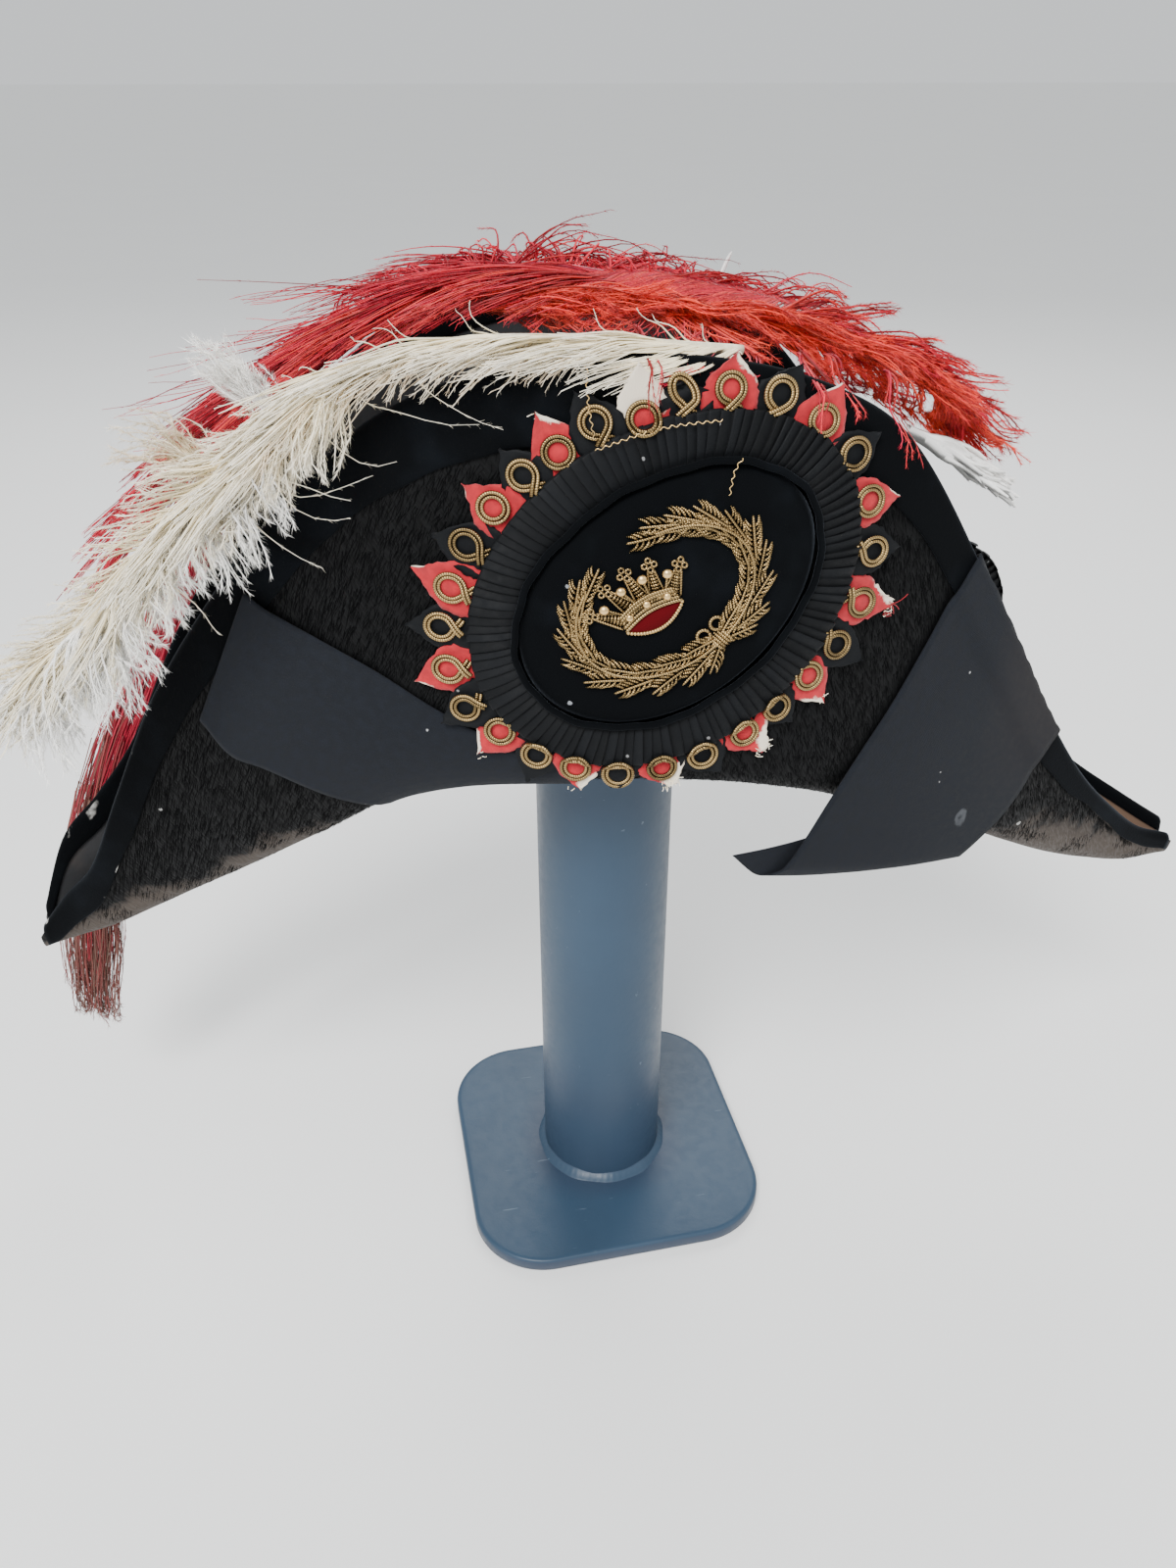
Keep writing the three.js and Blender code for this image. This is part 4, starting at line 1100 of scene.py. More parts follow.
def make_brim():
    stations = np.linspace(-HALF_LENGTH, HALF_LENGTH, 151)
    beside = OPENING_HALF_LENGTH * np.sin(np.linspace(-np.pi / 2, np.pi / 2, 35))
    x = np.unique(np.round(np.concatenate([stations, beside]), 3))
    x_inner = x * (HALF_LENGTH - FELT) / HALF_LENGTH
    browned = np.clip((np.abs(x) - BROWN_FROM) / BROWN_OVER, 0, 1) * np.where(x > 0, 0.9, 0.25)
    open_here = np.abs(x) <= OPENING_HALF_LENGTH
    beside_opening = np.flatnonzero(open_here[:-1] & open_here[1:])
    work = Work()
    for side in (NEAR, FAR):
        skins = []
        for place, lift in ((x, 0.0), (x_inner, -FELT)):
            width = np.sqrt(np.clip(1 - (place / OPENING_HALF_LENGTH) ** 2, 0, 1))
            curve = section_curve(place, side, lift, OPENING_HALF_WIDTH * width)
            along = np.broadcast_to(HAT_X + place[:, None], curve.shape[:2])
            skins.append(np.stack([along, side * curve[..., 0], curve[..., 1]], -1))
        outer, inner = skins
        rows, columns = outer.shape[:2]
        index = work.count + np.arange(rows * columns).reshape(rows, columns)
        wear = brim_wear(np.repeat(x[:, None], columns, 1), outer[..., 2], side)
        wear[:, : UNDER_COLUMNS + 1] *= 0.4
        shell = grid_faces(rows, columns)[:, ::side]
        uv = outer[..., [0, 2]]
        work.add(outer, [shell], uv, marks(wear))
        tone = marks(np.repeat(browned[:, None], columns, 1))
        work.add(inner, [shell[:, ::-1]], uv, tone, 1)
        # The rims: the flap's upper edge, the two tips, and the edge of the head opening.
        edges = [
            (index[:-1, -1], index[1:, -1], 1),
            (index[0, :-1], index[0, 1:], -1),
            (index[-1, :-1], index[-1, 1:], 1),
            (index[beside_opening, 0], index[beside_opening + 1, 0], -1),
        ]
        for a, b, way in edges:
            rim = quads(a, b, b + index.size, a + index.size)
            work.add_faces(rim[:, :: way * side], 0)
    work.piece("brim_flaps", ["plush", "lining"], "plush", "brim", weld=0.02)


def add_hairs(work, root, tip, across, tone, finish_index=0):
    """Adds a pointed sliver for each hair."""
    points = np.stack([root - across, root + across, tip], 1)
    faces = np.arange(len(root) * 3).reshape(-1, 3)
    tone = np.broadcast_to(tone, points.shape)
    work.add(points, [faces], tone=tone, finish_index=finish_index)


NAP_HAIRS = {NEAR: 44000, FAR: 27000}


def make_brim_nap():
    """Single hairs of the plush, which break up the flaps' flat shine and their outlines."""
    rng = np.random.default_rng(11)
    work = Work()
    for side, count in NAP_HAIRS.items():
        x = rng.uniform(-HALF_LENGTH + 3, HALF_LENGTH - 3, count)
        fold, edge = sizes_at(x, side)[:2]
        keep = rng.uniform(0, 120, count) < edge - fold
        x, fold, edge = x[keep], fold[keep], edge[keep]
        total = len(x)
        down = down_of(x, edge - (edge - fold) * rng.uniform(0.03, 1.04, total), side)
        down = np.maximum(down, 6)
        lean = rng.normal(0.0, 0.28, total) + np.where(x < 0, 0.55, -0.15)
        length = rng.uniform(1.8, 3.8, total)
        root = on_section(x, down, side, 0.02)
        tip_x = np.clip(x - np.sin(lean) * length, -224, 224)
        lift = rng.uniform(0.12, 0.5, total)
        tip = on_section(tip_x, down + np.cos(lean) * length, side, lift)
        across = unit(np.cross(unit(tip - root), [0.0, side, 0.0]))
        across = across * rng.uniform(0.08, 0.14, total)[:, None]
        z = root[:, 2]
        patch = np.sin(x / 6 + 1.5 * np.sin(z / 7)) * np.sin(z / 3.6 + x / 17)
        wear = brim_wear(x, z, side) * (0.8 + 0.7 * patch)
        shade = rng.uniform(0, 1, total)
        keep = rng.uniform(0, 1, total) > np.clip((wear - 0.25) * 2.4, 0, 1) * 1.5
        tone = marks(0.0, shade[keep, None], (0, 0, 1))
        add_hairs(work, root[keep], tip[keep], across[keep], tone)
    work.piece("brim_nap", ["hairs"], "plush")


def make_crown():
    steps = 120
    dome = smooth_path(DOME, 26)
    dome[:, 1] = np.clip(dome[:, 1], 0, 1)
    dome[0], dome[-1] = DOME[0], DOME[-1]

    def skin(depth):
        inset = depth + 0.3
        size = (OPENING_HALF_LENGTH - inset, OPENING_HALF_WIDTH - inset)
        flat = oval_at(even_turns(steps), *size)
        fold = heights_at(flat[:, 0])[..., 0]
        top = CROWN_TOP - depth
        rows = [lifted(flat * reach, fold + (top - fold) * rise) for reach, rise in dome[:-1]]
        return np.stack(rows) + [HAT_X, 0, 0]

    outer = skin(0.0)
    total = len(outer) * steps
    shell = grid_faces(len(outer), steps, around=True)
    last = np.arange(total - steps, total)[None]
    work = Work()
    work.add(outer, [shell, last])
    work.add(skin(CROWN_WALL), [shell[:, ::-1], last[:, ::-1]], finish_index=1)
    work.add_faces(rim_faces(np.arange(steps), total), 1)
    work.piece("crown_shell", ["velvet", "lining"], "plush", "crown")


# Small worn places on each binding: x, width along it, column of its section, strength.
WORN_VELVET = {
    NEAR: [
        (-221, 1.5, 10, 0.7), (-196, 1.0, 2, 0.8), (-188, 1.4, 1, 0.7), (-172, 0.8, 9, 0.9),
        (205, 1.5, 2, 0.4),
    ],
    FAR: [(-208, 0.8, 12, 0.8), (-200, 3.0, 13, 0.62), (-221, 1.6, 10, 0.6)],
}


def make_binding(side):
    """A velvet strip folded over one flap's edge, with a soft thickness of pile."""
    hat = settings("hat")
    x = np.linspace(-222.5, 222.5, 260)
    fold, edge, fold_half, edge_half, _ = sizes_at(x, side)
    flank = np.hypot(edge - fold, edge_half - fold_half)
    narrow = np.interp(x, (-216, -180, 125, 170), (0.6, 1, 1, 0.3))
    outside = np.minimum(hat.binding_outside / MM * narrow, flank * 0.8)
    outside = outside + 0.35 * np.sin(x / 7.3) + 0.25 * np.sin(x / 3.1 + 2)
    inside = np.minimum(hat.binding_inside / MM * narrow, flank * 0.6)
    pile, glued = 1.15, 0.1

    def outer_face(share, lift):
        return on_section(x, outside * share, side, lift)

    def inner_face(share, lift):
        return on_section(x, inside * share, side, -FELT - lift)

    def over_top(degrees, lift):
        turn, reach = math.radians(degrees), FELT / 2 + lift
        middle = on_section(x, 0, side, 0.0)
        middle[:, 1] += side * (math.cos(turn) * reach - FELT / 2)
        middle[:, 2] += math.sin(turn) * reach
        return middle

    columns = [outer_face(*place) for place in ((1.0, glued), (1.0, 0.75), (0.97, 1.05))]
    columns += [outer_face(share, pile) for share in (0.9, 0.7, 0.45, 0.2)]
    columns += [over_top(degrees, pile) for degrees in range(0, 181, 30)]
    columns += [inner_face(share, pile) for share in (0.25, 0.6, 0.93)]
    columns += [inner_face(*place) for place in ((1.0, 0.7), (1.0, glued), (0.5, glued))]
    columns += [over_top(degrees, 0.12) for degrees in (180, 90, 0)]
    columns += [outer_face(share, glued) for share in (0.35, 0.7)]
    points = np.stack(columns, 1)
    rows, count = points.shape[:2]
    ring = np.arange(count)[None]
    faces = [grid_faces(rows, count, around=True)[:, ::side], ring[:, ::-side]]
    faces.append(ring[:, ::side] + (rows - 1) * count)
    run, across = run_along(points[:, 10]), run_along(points[130])
    wear = np.zeros((rows, count))
    for place, width, column, strength in WORN_VELVET[side]:
        spot = strength * np.exp(-(((x - place) / width) ** 2))
        wear[:, column - 1 : column + 2] += spot[:, None]
    wear[:, :2] = np.maximum(wear[:, :2], 0.24)
    work = Work()
    work.add(points, faces, spread_uv(run[:, None], across), marks(wear.clip(0, 1)))
    name = "front" if side < 0 else "back"
    piece = work.piece("velvet_" + name, ["velvet"], "velvet", "binding_" + name)
    length = run[-1] * MM
    width = surface(piece) / 2 / length


# ---------------- ribbons


def make_ribbon(name, rows, hanging, seed):
    """A wide ribbon drawn over the flap. A hanging one goes straight on below the fold."""
    across = np.linspace(0, 1, 34)
    upper_x, upper_z, lower_x, lower_z, layer = smooth_path(rows, 90).T[:, :, None]
    x = upper_x * (1 - across) + lower_x * across
    z = upper_z * (1 - across) + lower_z * across
    edge = sizes_at(x, NEAR)[1]
    on_velvet = 1 / (1 + np.exp((edge - z - 21.0) / 1.6))
    phase = np.random.default_rng(seed).uniform(0, 6, 4)
    swell = 0.35 * np.sin(x / 11 + z / 19 + phase[0]) + 0.25 * np.sin(z / 8 - x / 23 + phase[1])
    swell = swell + 0.45 + 0.35 * np.abs(across * 2 - 1) ** 6
    lift = 0.55 + 1.3 * on_velvet + 0.5 * swell + layer * 1.5

    def face(extra):
        if not hanging:
            return on_section(x, down_of(x, z, NEAR), NEAR, lift + extra)
        over = np.maximum(z - edge - 1.9, 0)
        points = on_flank(x, z - over, NEAR, lift + extra + ripple(x, z, NEAR))
        points[..., 1] += np.minimum(over, 6.5)
        points[..., 2] -= np.maximum(over - 6.5, 0)
        return points

    front, back = face(0.45), face(0.0)
    run = run_along(front[:, 16])
    widths = np.linalg.norm(front[:, 0] - front[:, -1], axis=1)
    uv = spread_uv(run[:, None], across * widths[40])
    brown = np.clip((x - 98) / 36, 0, 1) * np.clip((z - 200) / 60, 0, 1)
    work = Work()
    add_sheet(work, *(part[:, ::-1] for part in (front, back, uv, marks(brown))))
    piece = work.piece("grosgrain_" + name, ["ribbon"], "grosgrain", "ribbon_" + name)


# ---------------- rosette


def oval_turns(shares, oval):
    """Angles of places that lie at even shares of an oval's outline."""
    dense = np.linspace(0, FULL_TURN, 2001)
    run = run_along(oval_at(dense, *oval))
    return np.interp(np.mod(shares, 1) * run[-1], run, dense) + FULL_TURN * np.floor(shares)


# One knife pleat: how far along it goes, in pleats, and its share of the full height.
PLEAT_FOLDS = table(
    (0.0, 0.22), (0.3, 0.5), (0.65, 0.8), (0.95, 1.0), (1.1, 1.04), (1.14, 0.9), (1.08, 0.7),
    (0.97, 0.3),
)
# Points of a pleat lower than this share of its height get painted shade.
PLEAT_SHADE_BELOW = 0.35
ACROSS_PLEAT = np.array([0.0, 0.0, 0.05, 0.2, 0.4, 0.6, 0.8, 0.95, 1.0])[:, None]


def add_pleats(work, shape, count, outer, inner, lift, height, seed, crown):
    """A ring of knife pleats between two ovals, each (half length, half height), with painted shade
    deep in each pleat.
    """
    rng = np.random.default_rng(seed)
    along, high = PLEAT_FOLDS.T
    widths = rng.uniform(0.82, 1.18, count)
    starts = np.concatenate([[0], np.cumsum(widths)]) / widths.sum()
    tall, shade = rng.uniform((0.8, 0.0), (1.2, 1.0), (count, 2)).T[:, :, None]
    shares = (starts[:-1, None] + along * np.diff(starts)[:, None]).ravel()
    skew, ragged = (rng.normal(0, part, count).repeat(len(along)) for part in (0.004, 0.18))
    length, width = (a + (b - a) * ACROSS_PLEAT for a, b in zip(outer, inner))
    edge = ragged * (1 - ACROSS_PLEAT) ** 2
    turn = oval_turns(shares, outer) + skew * ACROSS_PLEAT
    z = lift + (high * tall).ravel() * height * (1 - 0.55 * ACROSS_PLEAT**3)
    z = z + crown * np.sin(np.pi * ACROSS_PLEAT) ** 0.8
    z[0] = lift - 0.9
    rows = lifted(oval_at(turn, length + edge, width + edge), z)
    faces = grid_faces(*rows.shape[:2], around=True)[:, ::-1]
    uv = spread_uv(shares * sum(outer) * np.pi, ACROSS_PLEAT * (outer[0] - inner[0]))
    # The mark is painted shade deep in each pleat; the shade is each pleat's random tone.
    tone = marks(high < PLEAT_SHADE_BELOW, shade).reshape(-1, 3)
    work.add(shape(rows), [faces], uv, np.broadcast_to(tone, rows.shape))


def make_pleated_ring():
    rosette = settings("rosette")
    inset = rosette.pleat_width / MM + 1.4
    inner = (OVAL_LENGTH - inset, OVAL_HEIGHT - inset)
    work = Work()
    add_pleats(work, on_rosette, rosette.pleats, OVAL, inner, RING_LIFT, 1.15, 5, 0.7)
    piece = work.piece("pleated_ring", ["black silk"], "black_cloth", "rosette_pleats")


def make_piping():
    """The worn, shiny rolled rim round the velvet oval."""
    turn = np.linspace(0, FULL_TURN, 193)
    inset = 12.6 - 0.25 * np.sin(turn * 9 + 1) - 0.15 * np.sin(turn * 23)
    path = lifted(oval_at(turn, OVAL_LENGTH - inset, OVAL_HEIGHT - inset), RING_LIFT + 2.2)
    work = Work()
    add_tubes(work, [path], 0.95, 12, [(0.5, 0, 0)], shape=on_rosette, normal=UP, caps=False)
    work.piece("rosette_rim", ["velvet"], "velvet", "rosette_piping", weld=0.01)


def make_pad():
    rings, steps = 18, 120
    turn, ring = even_turns(steps), np.arange(rings)[:, None]
    share = 1 - ring / (rings - 0.6)
    crown = np.where(ring > 0, 1.9 + 0.8 * (1 - share**2), 0.2)
    z = RING_LIFT + crown + 0.12 * np.sin(turn * 3 + ring) * (share < 0.95)
    rows = lifted(oval_at(turn, (PAD_LENGTH + 0.6) * share, (PAD_HEIGHT + 0.6) * share), z)
    rows = np.concatenate([rows[:1] - [0, 0, 0.2], rows])
    work = Work()
    work.add(on_rosette(rows), closed_faces(len(rows), steps))
    piece = work.piece("velvet_oval", ["velvet"], "velvet", "rosette_pad")


def petal_frame(petal):
    """Foot of one leaf, its own heading and the oval's outward one, on the rosette's flat."""
    turn, lean = math.radians(petal["turn"]), math.radians(petal["lean"])
    normal = unit(oval_at(turn, 1 / OVAL_LENGTH, 1 / OVAL_HEIGHT))
    out = normal * math.cos(lean) + left_of(normal) * math.sin(lean)
    return oval_at(turn, *OVAL), out, normal


PETAL_TUCK, PETAL_HALF_THICK, CORD_DISC = 4.5, 0.22, 2.6


def make_petals():
    """The ring of pointed cloth leaves, red and black in turn."""
    rng = np.random.default_rng(23)
    v = np.linspace(0, 1, 22)[:, None]
    u = np.linspace(-1, 1, 13)
    taper = 7.1 * np.sin(np.pi * (0.2 + 0.8 * v)) ** 0.92 * (0.35 + 0.65 * (1 - v**7))
    for index, petal in enumerate(PETALS):
        is_red, state = index % 2 == 0, petal["state"]
        foot, out, _ = petal_frame(petal)
        length = petal["reach"] + PETAL_TUCK
        along = v * length - PETAL_TUCK
        half = taper * rng.uniform(0.93, 1.07)
        if state in ("frayed", "short", "torn"):
            half = half + 6.4 * np.maximum(v - 0.75, 0)
        side = u * half + rng.normal(0, 0.22, v.shape) * u**4 * np.sign(u)
        sway = rng.uniform(-0.8, 0.8) * np.maximum(v - 0.3, 0) ** 2
        raise_tip, cup = rng.uniform(0.2, 1.5), rng.uniform(-0.4, 0.7)
        wave = 0.25 * np.sin(v * 7 + u * 2 + index)
        lift = PETAL_LIFT + 0.25 + raise_tip * v**3 + cup * u**2 * v * (1 - v) * 3 + wave * v
        disc = np.hypot(side, along - petal["loop"])
        pale = 0.0
        if is_red:
            lift = lift + 0.55 * np.exp(-((disc / CORD_DISC) ** 4))
            pale = np.where(disc < CORD_DISC, 0.0, petal["fray"])
        bare_side = rng.choice([-1, 1])
        share = v * (0.78 + 0.22 * u * bare_side) + 0.06 * (u * bare_side > 0.8)
        if state == "crumpled":
            along = np.where(v > 0.6, along - 0.65 * (v - 0.6) * length, along)
            lift = lift + 0.9 * np.sin(v * 14 + u * 3) * v
        if state == "torn":
            along = along - 1.8 * np.maximum(u, 0) * v**3 * (1 + np.sin(u * 9))
        aside = (side + sway * length * 0.3)[..., None] * left_of(out)
        middle = lifted(foot + along[..., None] * out + aside, lift)
        front, back = (on_rosette(middle + [0, 0, way * PETAL_HALF_THICK]) for way in (1, -1))
        work = Work()
        tone = marks(pale, rng.uniform(0.5, 1), share)
        add_sheet(work, front, back, spread_uv(along, side), tone)
        colour = "red" if is_red else "black"
        number = f"{colour}_{index // 2 + 1:02d}"
        look = "red cloth" if is_red else "black silk"
        piece = work.piece("leaf_" + number, [look], colour + "_cloth", "petal_" + number)


def add_fringe(work, rng, petal, count, length, finish_index):
    """Loose threads at a frayed leaf's point."""
    foot, out, _ = petal_frame(petal)
    share = np.linspace(0, 1, 7)
    paths = []
    for _ in range(count):
        start = petal["reach"] - rng.uniform(0.2, 2.4)
        sideways, bend = rng.uniform(-2.6, 2.6), rng.normal(0, 0.9)
        reach = start + share * rng.uniform(0.5, 1) * length
        across = sideways + bend * share**2 + rng.normal(0, 0.3) * share
        flat = foot + reach[:, None] * out + across[:, None] * left_of(out)
        paths.append(lifted(flat, PETAL_LIFT + 1.2 + rng.uniform(-0.2, 1.2) * share))
    add_tubes(work, paths, 0.11, 4, [(0.6, 0, 0)], finish_index, on_rosette, UP)


def make_petal_trim():
    """Frayed threads at the leaves' points."""
    rng = np.random.default_rng(31)
    work = Work()
    for petal in PETALS:
        state = petal["state"]
        if petal["fray"] > 0.2:
            count = {"frayed": 18, "torn": 8}.get(state, 3)
            add_fringe(work, rng, petal, count, 1.5 if state == "frayed" else 0.9, 0)
        if state == "torn":
            add_fringe(work, rng, petal, 9, 3.6, 1)
    work.piece("petal_fringes", ["cream barbs", "red cloth"], "red_cloth")


def cord_loop(style, rng):
    """The path of one loop of cord round its own middle, with y outwards from the rosette."""
    size = rng.uniform(0.94, 1.06)
    if style == "closed":
        turn = np.linspace(-np.pi / 2 - 0.1, 1.5 * np.pi + 0.1, 15)
        path = lifted(oval_at(turn, 3.4, 3.4), np.linspace(0, 0.3, 15))
        return smooth_path(path * [size, size, 1], 52)
    turn = np.radians(np.linspace(-52, 232, 12))
    ring = lifted(oval_at(turn, 3.35, 3.5), np.linspace(0.1, 0.5, 12))
    if style == "twisted":
        skew = np.stack([0.25 * ring[:, 1], 0 * turn, 0.4 * np.sin(turn * 2)], -1)
        ring = ring * [0.75, 1.0, 1] + skew
    path = [(-2.2, -5.9, -0.4), (-0.3, -4.4, 0.0), *ring, (0.3, -4.4, 0.9), (2.1, -5.7, 0.4)]
    return smooth_path(np.array(path) * [size, size, 1], 60)


def make_petal_cords():
    """Doubled gold cord sewn in a loop on each leaf."""
    rng = np.random.default_rng(47)
    radius = settings("rosette").cord_radius / MM
    work = Work()
    for index, petal in enumerate(PETALS):
        foot, _, normal = petal_frame(petal)
        low = petal["loop"] < 3
        style = "closed" if low or index in CLOSED_LOOPS else "crossed"
        if petal["state"] == "crumpled":
            style = "twisted"
        path = cord_loop(style, rng)
        beside = unit(np.cross(unit(np.gradient(path, axis=0)), UP))
        tilt = rng.normal(0, 0.12)
        for offset in (-0.54, 0.54):
            strand = path + beside * offset * (1 + rng.normal(0, 0.04))
            right, up = turned(strand[:, 0], strand[:, 1], tilt)
            up = up + petal["loop"]
            flat = foot + up[:, None] * normal + right[:, None] * left_of(normal)
            lift = PETAL_LIFT + 1.35 + strand[:, 2] + 0.12 * np.sin(np.linspace(0, 9, len(up)))
            if low:
                lift = lift + 2.0 * np.clip((0.9 - up) / 1.3, 0, 1)
            else:
                lift = lift - 2.0 * np.clip((-0.1 - up) / 1.2, 0, 1)
            tones = [(rng.uniform(0.2, 0.9), 0, 0)]
            path_on_leaf = [lifted(flat, lift)]
            add_tubes(work, path_on_leaf, radius, 6, tones, shape=on_rosette, normal=UP)
    work.piece("petal_cords", ["cord"], "gold_bullion")


# ---------------- embroidery


class Needle:
    """Collects the wreath's and the coronet's threads on the rosette's flat."""

    def __init__(self, seed):
        self.rng = np.random.default_rng(seed)
        self.coils, self.cords = [], []

    def stitch(self, start, end, radius, rise, bow=0.0):
        """One coil from start to end, arched off the cloth, and bowed sideways."""
        share = np.linspace(0, 1, 5)
        heading = end - start
        flat = start + np.outer(share, heading)
        flat = flat + np.outer(np.sin(share * np.pi), unit(left_of(heading)) * bow)
        arch = np.sin(np.clip(share * 1.15 + 0.05, 0, 1) * np.pi) ** 0.7
        path = lifted(flat, PAD_LIFT + 0.3 + rise * arch)
        self.coils.append((path, radius, self.rng.uniform(0, 1)))

    def cord(self, points, radius, lift, count):
        path = lifted(smooth_path(points, count), PAD_LIFT + lift)
        self.cords.append((path, radius, self.rng.uniform(0.3, 1)))

    def leaf(self, root, heading, length, half):
        """A leaf of slanting coils on both sides of a vein."""
        rng, heading = self.rng, unit(heading)
        side = left_of(heading)
        rows = max(5, int(length / 1.4))
        curve = rng.normal(0, 0.5)
        for k in range(rows):
            share = 0.02 + 0.86 * k / rows
            fill = (math.sin(math.pi * min(0.12 + 0.83 * share, 1.0) ** 0.85)) ** 0.6
            spine = root + heading * share * length + side * curve * share**2
            for way in (-1, 1):
                reach = half * fill * rng.uniform(0.93, 1.08)
                start = spine + side * way * 0.2
                end = spine + side * way * reach + heading * reach * rng.uniform(1.25, 1.45)
                self.stitch(start, end, 0.36, 0.95, way * 0.42)
        tip = root + heading * (length + 0.6) + side * curve
        middle = root + heading * length * 0.5 + side * curve * 0.25
        self.cord([root - heading * 0.8, middle, tip], 0.36, 1.25, 16)

    def sew(self, work, shape):
        for threads, finish_index, sides in ((self.coils, 0, 5), (self.cords, 1, 6)):
            by_steps = {}
            for thread in threads:
                by_steps.setdefault(len(thread[0]), []).append(thread)
            for steps, group in by_steps.items():
                paths, radii, shades = zip(*group)
                ends = np.ones(steps)
                ends[[0, -1]] = 0.55
                radii = np.outer(radii, ends)
                add_tubes(work, paths, radii, sides, marks(0, shades), finish_index, shape, UP)


WREATH_SIZE, WREATH_MIDDLE = np.array([24.9, 17.9]), np.array([-1.2, 0.8])
KNOT, BRANCH_ENDS, BRANCH_LEAVES = 284.0, (444.0, 114.0), 17  # degrees round the oval


def make_wreath():
    """A laurel wreath of coiled thread, open at its upper left and tied at the bottom."""
    needle = Needle(61)
    rng = needle.rng

    def on_oval(angle, shift=0.0):
        return oval_at(math.radians(angle), *(WREATH_SIZE + shift)) + WREATH_MIDDLE

    def headings(angle, step):
        place = on_oval(angle)
        return unit(on_oval(angle + step) - place), unit(on_oval(angle, 1.0) - place)

    for end in BRANCH_ENDS:
        span = end - KNOT
        for k in range(BRANCH_LEAVES):
            share = (k + 0.35) / BRANCH_LEAVES
            angle = KNOT + span * share * 0.93
            side = 1 if k % 2 else -1
            root = on_oval(angle, side * (1.4 - 0.7 * share))
            ahead, outward = headings(angle, math.copysign(2, span))
            slant = 0.0
            if k < BRANCH_LEAVES - 1:
                slant = side * rng.uniform(0.16, 0.28) * (1.15 - 0.6 * share)
            heading = ahead * math.cos(slant) + outward * math.sin(slant)
            length = rng.uniform(8.8, 10.2) * (1.0 if share < 0.8 else 0.92)
            needle.leaf(root, heading, length, 2.4)
        spine = [on_oval(KNOT + span * share) for share in np.linspace(0, 0.92, 12)]
        needle.cord(spine, 0.4, 1.5, 60)
    knot = on_oval(KNOT)
    ahead, outward = headings(KNOT, 2)
    for way in (-1, 1):
        middle = knot + ahead * way * 2.4 - outward * 4.2
        needle.cord(middle + oval_at(np.linspace(0, FULL_TURN, 12), 1.75, 1.75), 0.5, 0.8, 44)
        heading = ahead * way * 0.9 + outward * 0.45
        needle.leaf(knot + outward * 0.8 + ahead * way * 1.2, heading, 8.0, 2.3)
    for k in range(-2, 3):
        start = knot + ahead * k * 0.9 + outward * 2.6
        needle.stitch(start, start - outward * 5.4, 0.5, 1.5)
    work = Work()
    needle.sew(work, on_rosette)
    work.piece("laurel_wreath", ["bullion", "cord"], "gold_bullion", "wreath")


CORONET_X, CORONET_Y = -5.2, -1.6  # the middle of its foot, on the oval
CORONET_TURN, CORONET_SIZE = math.radians(-4.0), 1.1


def on_coronet(points):
    x, y = turned(*(points[..., k] * CORONET_SIZE for k in (0, 1)), CORONET_TURN)
    return on_rosette(np.stack([CORONET_X + x, CORONET_Y + y, points[..., 2]], -1))


def add_ball(work, centre, radius, finish_index, flat=1.0, shape=on_coronet):
    rows, steps = 7, 12
    rise = np.linspace(-np.pi / 2 + 0.12, np.pi / 2 - 0.12, rows)[:, None]
    ring = oval_at(even_turns(steps), np.cos(rise), np.cos(rise))
    points = lifted(ring, np.sin(rise) * flat) * radius + centre
    faces = closed_faces(rows, steps)
    work.add(shape(points), faces, tone=(0.8, 0, 0), finish_index=finish_index)


